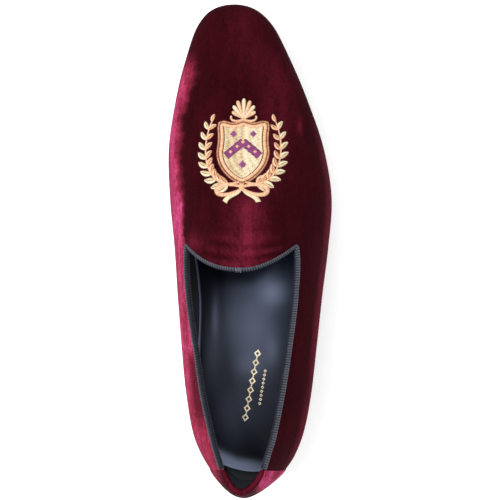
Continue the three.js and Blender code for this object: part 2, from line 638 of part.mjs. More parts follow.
const shoe = new THREE.Group();
shoe.add(toMesh("upper", buildUpper(), VELVET));
shoe.add(toMesh("topline_binding", buildBinding(), GROSGRAIN));
shoe.add(toMesh("back_strap", buildBackStrap(), VELVET));
shoe.add(toMesh("insole", buildInsole(), SOCK_LEATHER));
shoe.add(toMesh("outsole", buildOutsole(), SOLE_LEATHER));
shoe.add(toMesh("heel_stack", buildHeelStack(), SOLE_LEATHER));
shoe.add(toMesh("top_lift_leather", buildLeatherLift(), SOLE_LEATHER));
shoe.add(toMesh("top_lift_rubber", buildRubberLift(), RUBBER));
NAILS.forEach((nail, i) => {
  shoe.add(toMesh(`heel_nail_${i + 1}`, nailSolid(nail, NAIL_RADIUS, NAIL_INSET, NAIL_LENGTH), COPPER));
});

export default shoe;
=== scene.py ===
"""Looks of a velvet slipper shoe, right foot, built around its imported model.

Sizes inside the classes are in millimetres. +Y runs to the toe, +X to the outer side, +Z up.
"""

import logging
import math
from collections.abc import Callable, Iterator, Sequence
from contextlib import contextmanager
from dataclasses import dataclass, field
from enum import Enum
from functools import cached_property

import bmesh
import bpy
import numpy as np
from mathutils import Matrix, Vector


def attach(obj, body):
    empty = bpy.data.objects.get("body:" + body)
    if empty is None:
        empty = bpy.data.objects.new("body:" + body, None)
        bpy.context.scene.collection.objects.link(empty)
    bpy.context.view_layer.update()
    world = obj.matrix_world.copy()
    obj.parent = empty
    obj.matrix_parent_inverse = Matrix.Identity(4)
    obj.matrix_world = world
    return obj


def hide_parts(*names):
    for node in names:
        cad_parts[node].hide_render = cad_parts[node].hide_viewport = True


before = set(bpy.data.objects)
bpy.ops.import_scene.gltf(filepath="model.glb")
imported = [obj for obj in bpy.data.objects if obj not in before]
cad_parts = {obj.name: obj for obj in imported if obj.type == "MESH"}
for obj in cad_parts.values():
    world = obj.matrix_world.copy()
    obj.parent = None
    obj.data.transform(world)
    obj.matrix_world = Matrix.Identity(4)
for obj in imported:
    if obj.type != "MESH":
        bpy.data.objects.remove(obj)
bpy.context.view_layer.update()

Array = np.ndarray
Curve = Callable[[Array], Array]
Socket = bpy.types.NodeSocket
Triple = tuple[float, float, float]
Colour = Triple
Point = tuple[float, float]
MM = 0.001
log = logging.getLogger("velvet_shoe")


# ---- Curves and the form of the last ----


class Side(Enum):
    """Side of the foot; the value is the sign of X."""

    INNER = -1
    OUTER = 1


def table(names: str, rows: Sequence[Sequence[float]]) -> np.recarray:
    """Makes a table from rows of numbers; each column is read by its name."""
    return np.rec.fromrecords([tuple(map(float, row)) for row in rows], names=names.split())


PLAN = table(  # the ridge's X in mm, and the distances out from it over half the ball's width
    "share ridge seat_inner seat_outer bulge_inner bulge_outer",
    [
        (0.0, -2.0, 0.0, 0.0, 0.0, 0.0),
        (0.03, -1.2, 0.316, 0.304, 0.318, 0.314),
        (0.06, -1.3, 0.446, 0.448, 0.469, 0.505),
        (0.11, -1.8, 0.555, 0.594, 0.618, 0.669),
        (0.2, -2.3, 0.577, 0.65, 0.722, 0.802),
        (0.3, -2.3, 0.447, 0.669, 0.787, 0.871),
        (0.4, -1.5, 0.402, 0.661, 0.859, 0.918),
        (0.5, -0.5, 0.561, 0.81, 0.92, 0.971),
        (0.6, -1.5, 0.867, 0.965, 0.969, 1.032),
        (0.7, -3.0, 0.91, 0.925, 0.965, 0.969),
        (0.8, -5.5, 0.795, 0.784, 0.835, 0.82),
        (0.9, -8.5, 0.588, 0.592, 0.621, 0.624),
        (0.96, -10.0, 0.42, 0.426, 0.449, 0.458),
        (0.99, -10.5, 0.243, 0.243, 0.261, 0.261),
        (1.0, -10.5, 0.0, 0.0, 0.0, 0.0),
    ],
)
PROFILE = table(
    "share heel_lift toe_lift bulge ridge full_inner full_outer",
    [
        (0.0, 1.0, 0.0, 42.0, 1.239, 2.0, 2.0),
        (0.06, 0.995, 0.0, 41.6, 1.174, 1.61, 1.46),
        (0.12, 0.972, 0.0, 40.5, 1.116, 1.47, 1.37),
        (0.2, 0.917, 0.0, 38.0, 1.058, 1.56, 1.38),
        (0.3, 0.722, 0.0, 34.5, 1.032, 1.69, 1.44),
        (0.4, 0.428, 0.0, 29.5, 1.019, 2.03, 1.58),
        (0.5, 0.172, 0.0, 24.0, 0.948, 2.5, 1.8),
        (0.6, 0.02, 0.0, 20.0, 0.806, 2.45, 1.95),
        (0.66, 0.0, 0.0, 18.3, 0.71, 2.42, 2.05),
        (0.74, 0.0, 0.0, 16.8, 0.599, 2.38, 2.2),
        (0.8, 0.0, 0.11, 16.5, 0.535, 2.35, 2.3),
        (0.9, 0.0, 0.46, 17.5, 0.465, 2.35, 2.35),
        (1.0, 0.0, 1.0, 20.0, 0.406, 2.35, 2.35),
    ],
)
TOPLINE = table(  # the collar's height over the instep's
    "share height",
    [(0.0, 1.032), (0.06, 0.994), (0.13, 0.91), (0.22, 0.832), (0.32, 0.787), (0.42, 0.774), (0.52, 0.781)],
)


def track(places: Array, values: Array) -> Curve:
    """Makes a smooth function through rows, with parabola slopes.

    Args:
        places: where the rows are, rising.
        values: the function's value at each row.

    Returns:
        A function of an array of places.
    """
    spans = np.diff(places)
    chords = np.diff(values) / spans
    slopes = np.empty_like(values)
    slopes[1:-1] = (spans[1:] * chords[:-1] + spans[:-1] * chords[1:]) / (spans[1:] + spans[:-1])
    slopes[0] = 2 * chords[0] - slopes[1]
    slopes[-1] = 2 * chords[-1] - slopes[-2]

    def value(place: Array) -> Array:
        """Reads the curve.

        Args:
            place: where it is read.

        Returns:
            Its value at each place.
        """
        i = np.clip(np.searchsorted(places, place, side="right") - 1, 0, len(spans) - 1)
        t = (place - places[i]) / spans[i]
        rest = 1 - t
        level = values[i] * (1 + 2 * t) * rest**2 + values[i + 1] * t**2 * (3 - 2 * t)
        return level + spans[i] * t * rest * (slopes[i] * rest - slopes[i + 1] * t)

    return value


def turn_of(share: Array) -> Array:
    """Turn round the outline, in radians, at a share of the length."""
    return np.arccos(np.clip(1 - 2 * np.asarray(share, float), -1, 1))


def share_of(turn: Array) -> Array:
    """Share of the length at a turn round the outline."""
    return (1 - np.cos(turn)) / 2


def between(low: Array, high: Array, t: Array) -> Array:
    """Straight mix of low and high."""
    return low + (high - low) * t


def unit(vectors: Array) -> Array:
    """Vectors scaled to length one."""
    return vectors / np.maximum(np.linalg.norm(vectors, axis=-1, keepdims=True), 1e-12)


def soft(value: Array, low: float, high: float) -> Array:
    """Smooth step from 0 at low to 1 at high."""
    t = np.clip((value - low) / (high - low), 0, 1)
    return t * t * (3 - 2 * t)


def walk(line: Array) -> Array:
    """Length walked along a line to each of its points."""
    return np.concatenate([[0], np.cumsum(np.linalg.norm(np.diff(line, axis=0), axis=1))])


def pick(line: Array, walked: Array, at: Array) -> Array:
    """Points of a line after some lengths walked along it."""
    return np.stack([np.interp(at, walked, column) for column in line.T], -1)


def patches(rows: np.recarray, x: Array, y: Array) -> Array:
    """Sum of soft round patches, each with its middle, half widths and level."""
    return sum(r.level * np.exp(-(((x - r.x) / r.half_x) ** 2) - ((y - r.y) / r.half_y) ** 2) for r in rows)


@dataclass(frozen=True)
class Last:
    """Form that the upper is pulled over: side, share of the length, rise from seat to ridge."""

    length: float = 296.0
    ball_width: float = 98.0
    instep_height: float = 77.5
    heel_height: float = 18.0
    toe_spring: float = 9.5
    sole_thickness: float = 4.2
    gap: float = 0.3
    seat_from_bulge: float = 6.0
    collar_from_bulge: float = 6.0
    back_reach: float = 0.25
    back_bend: float = 1.5
    toe_reach: float = 0.24
    dome_from_tip: float = 24.0
    seat_from_tip: float = 1.5
    seat_fullness: float = 1.7
    bulge_rise: float = 0.35
    lip_rise: float = 0.07
    corner_share: float = 0.503
    throat_share: float = 0.457
    throat_bend_inner: float = 2.6
    throat_bend_outer: float = 1.75
    normal_step: float = 0.004
    edge_step: float = 0.01
    halvings: int = 40
    plan_rounds: int = 3

    @property
    def back_y(self) -> float:
        """Y of the counter's bulge."""
        return -self.length / 2

    @cached_property
    def curves(self) -> dict[str, Curve]:
        """Makes the smooth curves through the tables.

        Returns:
            The curves by name.
        """
        half = self.ball_width / 2
        turns = turn_of(PLAN.share)
        heights = {"ridge_z": self.instep_height, "heel_lift": self.heel_height, "toe_lift": self.toe_spring}
        found = {"ridge_x": track(PLAN.share, PLAN.ridge)}
        found["collar_z"] = track(TOPLINE.share, TOPLINE.height * self.instep_height)
        for name in PROFILE.dtype.names[1:]:
            key = f"{name}_z" if name in ("ridge", "bulge") else name
            found[key] = track(PROFILE.share, PROFILE[name] * heights.get(key, 1.0))
        for name in PLAN.dtype.names[2:]:
            found[name] = track(turns, PLAN[name] * half)
        return found

    def curve(self, name: str, place: Array) -> Array:
        """Value of a named curve."""
        return self.curves[name](np.asarray(place, float))

    def width(self, name: str, side: Side, share: Array) -> Array:
        """Distance from the ridge line out to the seat or the bulge."""
        return np.maximum(self.curve(f"{name}_{side.name.lower()}", turn_of(share)), 0)

    def seat_z(self, share: Array) -> Array:
        """Height of the upper's lower edge."""
        lifts = np.maximum(self.curve("heel_lift", share), 0) + np.maximum(self.curve("toe_lift", share), 0)
        return self.sole_thickness + self.gap + lifts

    def sole_top(self, y: Array) -> Array:
        """Height of the outsole's upper face."""
        return self.seat_z((y - self.back_y) / self.length) - self.gap

    def sole_under(self, y: Array) -> Array:
        """Height of the outsole's underside."""
        return self.sole_top(y) - self.sole_thickness

    def point(self, side: Side, share: Array, rise: Array) -> Array:
        """Finds points on the upper's outer surface.

        Args:
            side: inner or outer side.
            share: share of the length, 0 at the back.
            rise: 0 at the seat, 1 on the ridge.

        Returns:
            Points, one for each pair of share and rise.
        """
        share, rise = np.broadcast_arrays(np.asarray(share, float), np.asarray(rise, float))
        square = 2 / self.curve(f"full_{side.name.lower()}", share)
        seat, bulge = (self.width(name, side, share) for name in ("seat", "bulge"))
        fade_back = np.clip(1 - share / self.back_reach, 0, 1) ** 2
        fade_toe = np.clip((share - 1 + self.toe_reach) / self.toe_reach, 0, 1) ** 2
        flat_y = self.back_y + share * self.length
        low = rise < self.bulge_rise
        dip = np.clip(rise / self.bulge_rise, 0, 1) * (math.pi / 2)
        outward = np.sin(dip) ** (2 / self.seat_fullness)
        upward = 1 - np.clip(np.cos(dip), 0, 1) ** (2 / self.seat_fullness)
        arch = np.clip((rise - self.bulge_rise) / (1 - self.bulge_rise), 0, 1) * (math.pi / 2)
        across = np.where(rise >= 1, 0, np.clip(np.cos(arch), 0, 1)) ** square
        climb = np.sin(arch) ** square
        setback = np.where(low, self.seat_from_tip * (1 - outward), self.dome_from_tip * (1 - across))
        toe_y = flat_y - fade_toe * setback
        here = (toe_y - self.back_y) / self.length
        bulge_z = self.curve("bulge_z", here)
        z = np.where(
            low,
            between(self.seat_z(here), bulge_z, upward),
            between(bulge_z, self.curve("ridge_z", here), climb),
        )
        lean = np.clip((z - bulge_z) / (self.curve("collar_z", 0.0) - bulge_z), 0, None)
        forward = np.where(
            low, self.seat_from_bulge * (1 - outward), self.collar_from_bulge * lean**self.back_bend
        )
        out = np.where(low, between(seat, bulge, outward), bulge * across)
        return np.stack([self.curve("ridge_x", share) + side.value * out, toe_y + fade_back * forward, z], -1)

    def normal(self, side: Side, share: Array, rise: Array) -> Array:
        """Finds outward normals of the surface; on the middle line they have no sideways share.

        Args:
            side: inner or outer side.
            share: share of the length.
            rise: rise from the seat; under the lip it counts as the lip's.

        Returns:
            Normals of length one.
        """
        step = self.normal_step
        share, rise = np.broadcast_arrays(np.asarray(share, float), np.maximum(rise, self.lip_rise))
        turn = turn_of(share)
        ahead, behind = share_of(np.minimum(turn + step, math.pi)), share_of(np.maximum(turn - step, 0))
        along = self.point(side, ahead, rise) - self.point(side, behind, rise)
        above, below = np.minimum(rise + step, 1), np.maximum(rise - step, 0)
        up = self.point(side, share, above) - self.point(side, share, below)
        found = np.cross(along, up) * side.value
        zero = np.zeros_like(share)
        found = np.where((share <= 0)[..., None], np.stack([zero, -up[..., 2], up[..., 1]], -1), found)
        found = np.where((share >= 1)[..., None], np.stack([zero, up[..., 2], -up[..., 1]], -1), found)
        middle = (rise >= 1) & (share > 0) & (share < 1)
        found = np.where(middle[..., None], np.stack([zero, -along[..., 2], along[..., 1]], -1), found)
        return unit(found)

    def wall(self, side: Side, share: Array, rise: Array, distance: float | Array) -> Array:
        """Points at a distance out from the outer surface; a negative distance is inward."""
        offset = np.asarray(distance, float)[..., None]
        return self.point(side, share, rise) + self.normal(side, share, rise) * offset

    def rise_where(self, holds: Curve, count: int, low: float = 0.35, high: float = 1.0) -> Array:
        """Finds the last rises at which a test holds, by halving.

        Args:
            holds: test of an array of rises.
            count: how many rises are sought.
            low: a rise at which the test holds.
            high: a rise at which it may not.

        Returns:
            The rises.
        """
        lows, highs = np.full(count, low), np.full(count, high)
        for _ in range(self.halvings):
            middle = (lows + highs) / 2
            good = holds(middle)
            lows, highs = np.where(good, middle, lows), np.where(good, highs, middle)
        return lows

    def collar_rise(self, side: Side, share: Array) -> Array:
        """Finds the collar's edge.

        Args:
            side: side of the foot.
            share: shares of the length.

        Returns:
            Rise of the edge at each share.
        """
        share = np.atleast_1d(share)
        edge = self.curve("collar_z", share)
        return self.rise_where(lambda rise: self.point(side, share, rise)[:, 2] < edge, len(share))

    def rise_at(self, side: Side, share: Array, x: Array) -> Array:
        """Rise at which the surface over the bulge reaches each X."""
        way = side.value
        return self.rise_where(lambda rise: (self.point(side, share, rise)[:, 0] - x) * way > 0, len(share))

    def throat_edge(self, side: Side, out: Array) -> tuple[Array, Array]:
        """Finds the throat's edge.

        Args:
            side: side of the foot.
            out: places along the edge, from 0 in its middle to 1 at the corner.

        Returns:
            Share and rise of each place.
        """
        bend = self.throat_bend_inner if side is Side.INNER else self.throat_bend_outer
        share = between(self.throat_share, self.corner_share, out**bend)
        corner = self.point(side, self.corner_share, self.collar_rise(side, self.corner_share))[0, 0]
        x = between(self.curve("ridge_x", self.throat_share), corner, out)
        return share, np.where(out <= 0, 1.0, self.rise_at(side, share, x))

    def over(self, x: Array, y: Array, distance: float | Array = 0.0) -> tuple[Array, Array]:
        """Finds the vamp's surface over points of the plan.

        Args:
            x: distances across.
            y: distances along.
            distance: how far off the surface the points lie.

        Returns:
            Points and outward normals.
        """
        x, y = np.broadcast_arrays(np.asarray(x, float), np.asarray(y, float))
        share = (y - self.back_y) / self.length
        for _ in range(self.plan_rounds):
            sides = {side: self.rise_at(side, share, x) for side in Side}
            right = x > self.curve("ridge_x", share)
            rise = np.where(right, sides[Side.OUTER], sides[Side.INNER])
            found = np.where(
                right[:, None], self.point(Side.OUTER, share, rise), self.point(Side.INNER, share, rise)
            )
            share = share + (y - found[:, 1]) / self.length
        normals = np.where(
            right[:, None], self.normal(Side.OUTER, share, rise), self.normal(Side.INNER, share, rise)
        )
        return found + normals * np.asarray(distance, float)[..., None], normals

    def seat_edge(self, side: Side, share: Array, margin: float | Array) -> Array:
        """Finds the seat's outline in plan.

        Args:
            side: side of the foot.
            share: shares of the length.
            margin: how much further out the points lie.

        Returns:
            Points, at the seat's height.
        """
        share = np.asarray(share, float)
        turn = turn_of(share)
        ahead = self.point(side, share_of(np.minimum(turn + self.edge_step, math.pi)), 0)
        behind = self.point(side, share_of(np.maximum(turn - self.edge_step, 0)), 0)
        out = np.stack([ahead[:, 1] - behind[:, 1], behind[:, 0] - ahead[:, 0], 0 * share], -1) * side.value
        out[share <= 0] = (0, -1, 0)
        out[share >= 1] = (0, 1, 0)
        return self.point(side, share, 0) + unit(out) * np.reshape(margin, (-1, 1))


LAST = Last()


@dataclass(frozen=True)
class Ribs:
    """Lines up one side of the last, back to toe, that end on the collar, throat or ridge."""

    side: Side
    strap_count: int = 12
    collar_count: int = 78
    throat_count: int = 44
    vamp_count: int = 120
    strap_share: float = 0.055
    throat_foot_share: float = 0.565
    corner_haste: float = 2.0

    @cached_property
    def tops(self) -> tuple[Array, Array, Array, Array]:
        """Finds where the ribs start and end.

        Returns:
            Share at the foot, share at the top, rise at the top and haste, of every rib.
        """
        strap_turn, corner_turn = turn_of(self.strap_share), turn_of(LAST.corner_share)
        throat_turn = turn_of(self.throat_foot_share)
        strap = share_of(strap_turn * np.linspace(0, 1, self.strap_count + 1))
        onward = np.linspace(0, 1, self.collar_count + 1)[1:]
        collar = np.concatenate([strap, share_of(between(strap_turn, corner_turn, onward))])
        haste = np.concatenate([np.ones(len(strap)), between(1, self.corner_haste, onward**2)])
        inward = np.linspace(0, 1, self.throat_count + 1)[1:]
        throat_top, throat_rise = LAST.throat_edge(self.side, 1 - inward)
        throat_foot = between(LAST.corner_share, self.throat_foot_share, inward)
        vamp = share_of(between(throat_turn, math.pi, np.linspace(0, 1, self.vamp_count + 1)[1:]))
        vamp[-1] = 1
        ahead = (vamp - self.throat_foot_share) / (1 - self.throat_foot_share)
        return (
            np.concatenate([collar, throat_foot, vamp]),
            np.concatenate([collar, throat_top, between(LAST.throat_share, 1, ahead)]),
            np.concatenate([LAST.collar_rise(self.side, collar), throat_rise, np.ones(len(vamp))]),
            np.concatenate([haste, between(self.corner_haste, 1, inward), np.ones(len(vamp))]),
        )

    def places(self, low_steps: int, high_steps: int) -> tuple[Array, Array]:
        """Finds places up the ribs.

        Args:
            low_steps: steps from the seat to the bulge.
            high_steps: steps from the bulge to the top.

        Returns:
            Share and rise of each place, a row for each rib, from the seat up.
        """
        foot, top, rise, haste = (column[:, None] for column in self.tops)
        low = np.linspace(0, 1, low_steps + 1)[None]
        high = np.linspace(0, 1, high_steps + 1)[None, 1:]
        share = np.concatenate([foot + 0 * low, between(foot, top, high**2)], 1)
        climb = between(LAST.bulge_rise, rise, 1 - (1 - high) ** haste)
        return share, np.concatenate([LAST.bulge_rise * low + 0 * foot, climb], 1)


# ---- Meshes ----


@dataclass
class Sheet:
    """Points and faces of a mesh, in mm, with values for its points."""

    points: list[Array] = field(default_factory=list)
    faces: list[tuple[int, ...]] = field(default_factory=list)
    values: dict[str, list[Array]] = field(default_factory=dict)

    def add(self, points: Array, faces: Sequence[Sequence[int]] | Array, **values: float | Array) -> None:
        """Adds points and the faces between them.

        Args:
            points: points, as an array of any shape whose last axis is X, Y and Z.
            faces: faces, as numbers of these points.
            values: named values for the points.
        """
        start = sum(len(part) for part in self.points)
        flat = points.reshape(-1, 3)
        self.points.append(flat)
        self.faces.extend(tuple(int(i) + start for i in face) for face in faces)
        for name, value in values.items():
            self.values.setdefault(name, []).append(np.broadcast_to(value, points.shape[:-1]).reshape(-1))

    def grid(self, points: Array, loop: bool = False, tube: bool = False, **values: float | Array) -> None:
        """Adds a grid of points; faces front to the right of the way the rows run."""
        rows, columns = points.shape[:2]
        self.add(points, grid_faces(rows, columns, loop, tube), **values)

    def shell(
        self, front: Array, back: Array, loop: bool = False, rim: Array | None = None, **values: float | Array
    ) -> None:
        """Adds a closed wall between two grids of the same shape.

        Args:
            front: outer grid, rows by columns; columns run from the foot up.
            back: inner grid.
            loop: whether the last row meets the first.
            rim: for each row, whether its top is an open edge; all of them where it is left out.
            values: values for the points, the same on both grids.
        """
        rows, columns = front.shape[:2]
        count = rows * columns
        outside = grid_faces(rows, columns, loop, False)
        faces = [*outside, *(outside[:, ::-1] + count)]
        spans = rows if loop else rows - 1
        for r in range(spans):
            a, b = r * columns, ((r + 1) % rows) * columns
            faces.append((b, a, a + count, b + count))
            if rim is None or rim[r] or rim[(r + 1) % rows]:
                a, b = a + columns - 1, b + columns - 1
                faces.append((a, b, b + count, a + count))
        if not loop:
            last = (rows - 1) * columns
            for c in range(columns - 1):
                faces.append((c, c + 1, c + 1 + count, c + count))
                faces.append((last + c, last + c + count, last + c + 1 + count, last + c + 1))
        both = {name: np.concatenate([np.broadcast_to(v, front.shape[:2])] * 2) for name, v in values.items()}
        self.add(np.concatenate([front, back]), faces, **both)

    def mesh(self, name: str) -> bpy.types.Mesh:
        """Makes a mesh in metres, with an attribute for each named value.

        Args:
            name: the mesh's name.

        Returns:
            The mesh.
        """
        made = bpy.data.meshes.new(name)
        made.from_pydata((np.concatenate(self.points) * MM).tolist(), [], self.faces)
        for label, parts in self.values.items():
            attribute = made.attributes.new(label, "FLOAT", "POINT")
            attribute.data.foreach_set("value", np.concatenate(parts).astype(np.float32))
        return made


def grid_faces(rows: int, columns: int, loop: bool, tube: bool) -> Array:
    """Finds the faces of a grid of points.

    Args:
        rows: number of rows.
        columns: number of columns.
        loop: whether the last row meets the first.
        tube: whether the last column meets the first.

    Returns:
        Four point numbers for each face.
    """
    r = np.arange(rows if loop else rows - 1)
    c = np.arange(columns if tube else columns - 1)
    r, c = (part.ravel() for part in np.meshgrid(r, c, indexing="ij"))
    onward, beside = (r + 1) % rows, (c + 1) % columns
    corners = [r * columns + c, onward * columns + c, onward * columns + beside, r * columns + beside]
    return np.stack(corners, -1)


@contextmanager
def edited(mesh: bpy.types.Mesh) -> Iterator[bmesh.types.BMesh]:
    """Opens a mesh for editing, and writes it back afterwards.

    Args:
        mesh: the mesh.

    Returns:
        Its editable form, for a with block.
    """
    edit = bmesh.new()
    edit.from_mesh(mesh)
    yield edit
    edit.to_mesh(mesh)
    edit.free()


def slice_off(solid: bmesh.types.BMesh, place: Vector, way: Vector) -> None:
    """Cuts away what lies behind a plane and closes the cut.

    Args:
        solid: closed mesh, in metres.
        place: point of the plane, in metres.
        way: the plane's normal, which points at what is kept.
    """
    everything = solid.verts[:] + solid.edges[:] + solid.faces[:]
    cut = bmesh.ops.bisect_plane(solid, geom=everything, plane_co=place, plane_no=way, clear_inner=True)
    edges = [item for item in cut["geom_cut"] if isinstance(item, bmesh.types.BMEdge)]
    if edges:
        bmesh.ops.holes_fill(solid, edges=edges, sides=0)


@dataclass(frozen=True)
class Piece:
    """What a visible piece is called, made of, and stands for."""

    name: str
    finish: "Finish"
    slot: str
    replaces: tuple[str, ...] = ()
    sharp: float = 40.0

    def build(self, sheet: Sheet, weld: float = 0.002) -> None:
        """Makes the piece from a sheet of points in mm.

        Args:
            sheet: points, faces and values.
            weld: distance in mm under which points become one.
        """
        mesh = sheet.mesh(self.name)
        if weld:
            with edited(mesh) as edit:
                bmesh.ops.remove_doubles(edit, verts=edit.verts, dist=weld * MM)
                bmesh.ops.dissolve_degenerate(edit, edges=edit.edges, dist=1e-8)
        self.dress(mesh)

    def dress(self, mesh: bpy.types.Mesh) -> None:
        """Links a finished mesh as this piece, riding on the shoe, and hides the model's parts that it
        replaces.

        Args:
            mesh: the piece's mesh, in metres.
        """
        mesh.shade_smooth()
        mesh.set_sharp_from_angle(angle=math.radians(self.sharp))
        thing = bpy.data.objects.new(self.name, mesh)
        bpy.context.scene.collection.objects.link(thing)
        mesh.materials.append(self.finish.material())
        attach(thing, "root")
        for node in self.replaces:
            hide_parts(node)
        log.info("%s: %d faces", self.name, len(mesh.polygons))


# ---- Finishes ----


@dataclass
class Wiring:
    """Adds and joins nodes in one node tree."""

    tree: bpy.types.NodeTree

    def node(
        self, kind: str, inputs: dict[str | int, object] | None = None, **settings: object
    ) -> bpy.types.Node:
        """Adds a node.

        Args:
            kind: the node's type name.
            inputs: for each input, a value or the output that feeds it.
            settings: the node's own settings.

        Returns:
            The node.
        """
        made = self.tree.nodes.new(kind)
        for name, value in settings.items():
            setattr(made, name, value)
        for key, value in (inputs or {}).items():
            if isinstance(value, Socket):
                self.tree.links.new(value, made.inputs[key])
            else:
                made.inputs[key].default_value = value
        return made

    def times(self, one: object, other: object) -> Socket:
        """Product of two values."""
        return self.node("ShaderNodeMath", {0: one, 1: other}, operation="MULTIPLY").outputs[0]

    def weighted(self, *parts: tuple[Socket, float]) -> Socket:
        """Adds values up.

        Args:
            parts: each value and its weight.

        Returns:
            The weighted sum.
        """
        total = self.times(*parts[0])
        for value, weight in parts[1:]:
            ends = {0: total, 1: self.times(value, weight)}
            total = self.node("ShaderNodeMath", ends, operation="ADD").outputs[0]
        return total

    def blend(self, amount: object, low: object, high: object) -> Socket:
        """Mix of two colours."""
        ends = {6: opaque(low), 7: opaque(high), 0: amount}
        return self.node("ShaderNodeMix", ends, data_type="RGBA").outputs[2]

    def span(
        self, value: object, low: float, high: float, to_low: float = 0.0, to_high: float = 1.0
    ) -> Socket:
        """Value carried from one range to another, held at its ends."""
        ends = {0: value, 1: low, 2: high, 3: to_low, 4: to_high}
        return self.node("ShaderNodeMapRange", ends).outputs[0]

    def noise(self, place: object, scale: float, detail: float = 2.0) -> Socket:
        """Noise at a place; scale is in features per mm."""
        inputs = {"Vector": place, "Scale": scale, "Detail": detail}
        return self.node("ShaderNodeTexNoise", inputs).outputs["Fac"]

    def stretched(self, place: object, scale: Triple) -> Socket:
        """A place scaled along each axis."""
        return self.node("ShaderNodeMapping", {"Vector": place, "Scale": scale}).outputs[0]


def opaque(colour: object) -> object:
    """A colour with full alpha; an output is returned as it is."""
    return (*colour, 1.0) if isinstance(colour, tuple) and len(colour) == 3 else colour


class Effect(Enum):
    """Shared surface effects; each is one shader node group."""

    PILE = "velvet_pile"
    GRAIN = "leather_grain"
    RIBS = "woven_ribs"
    PLY = "twisted_thread"
    GRIT = "moulded_grit"
    BRUSH = "drawn_metal"

    def group(self) -> bpy.types.NodeTree:
        """Makes the effect's node group, once.

        Returns:
            The group: Place, in mm, and Strength in; Height and Mask out.
        """
        found = bpy.data.node_groups.get(self.value)
        if found:
            return found
        made = bpy.data.node_groups.new(self.value, "ShaderNodeTree")
        made.interface.new_socket("Place", in_out="INPUT", socket_type="NodeSocketVector")
        made.interface.new_socket("Strength", in_out="INPUT", socket_type="NodeSocketFloat")
        made.interface.new_socket("Height", in_out="OUTPUT", socket_type="NodeSocketFloat")
        made.interface.new_socket("Mask", in_out="OUTPUT", socket_type="NodeSocketFloat")
        wires = Wiring(made)
        given = wires.node("NodeGroupInput").outputs
        height, mask = EFFECT_MAKERS[self](wires, given["Place"])
        scaled = wires.times(height, given["Strength"])
        wires.node("NodeGroupOutput", {"Height": scaled, "Mask": mask})
        return made


Outputs = tuple[Socket, Socket]


def pile(wires: Wiring, place: Socket) -> Outputs:
    """Makes short dense pile: fine tufts, and long brushed streaks along the shoe.

    Args:
        wires: the group's nodes.
        place: where the effect is read, in mm.

    Returns:
        Height and mask.
    """
    tufts = wires.noise(place, 2.4, 3.0)
    streaks = wires.noise(wires.stretched(place, (1.0, 0.16, 0.6)), 0.2, 4.0)
    strokes = wires.noise(wires.stretched(place, (1.0, 0.35, 1.0)), 0.7, 4.0)
    crushed = wires.noise(place, 0.3, 5.0)
    specks = wires.noise(place, 0.9, 1.0)
    mask = wires.weighted((streaks, 0.4), (strokes, 0.26), (crushed, 0.12), (specks, 0.22))
    return wires.weighted((tufts, 0.5), (strokes, 0.5)), mask


def grain(wires: Wiring, place: Socket) -> Outputs:
    """Makes close leather grain: small cells, pores, and a slow unevenness.

    Args:
        wires: the group's nodes.
        place: where the effect is read, in mm.

    Returns:
        Height and mask.
    """
    voronoi = wires.node("ShaderNodeTexVoronoi", {"Vector": place, "Scale": 1.6}, feature="SMOOTH_F1")
    cells = voronoi.outputs[0]
    pores = wires.noise(place, 3.2, 2.0)
    return wires.weighted((cells, 0.6), (pores, 0.4)), wires.noise(place, 0.06, 4.0)


@dataclass(frozen=True)
class TwoNoises:
    """Effect of two noises: each is a stretch along X, Y and Z, features per mm, and detail."""

    height: tuple[Triple, float, float]
    mask: tuple[Triple, float, float]

    def __call__(self, wires: Wiring, place: Socket) -> Outputs:
        """Height and mask at a place in mm."""
        made = [wires.noise(wires.stretched(place, way), *rest) for way, *rest in (self.height, self.mask)]
        return made[0], made[1]


EVEN = (1.0, 1.0, 1.0)
EFFECT_MAKERS: dict[Effect, Callable[[Wiring, Socket], Outputs]] = {
    Effect.PILE: pile,
    Effect.GRAIN: grain,
    Effect.RIBS: TwoNoises((EVEN, 3.5, 2.0), (EVEN, 0.4, 2.0)),
    Effect.PLY: TwoNoises(((1.0, 1.6, 1.0), 5.0, 2.0), (EVEN, 0.5, 2.0)),
    Effect.GRIT: TwoNoises((EVEN, 2.2, 3.0), ((1.0, 0.25, 1.0), 0.3, 5.0)),
    Effect.BRUSH: TwoNoises(((6.0, 1.0, 1.0), 2.0, 3.0), (EVEN, 0.8, 3.0)),
}


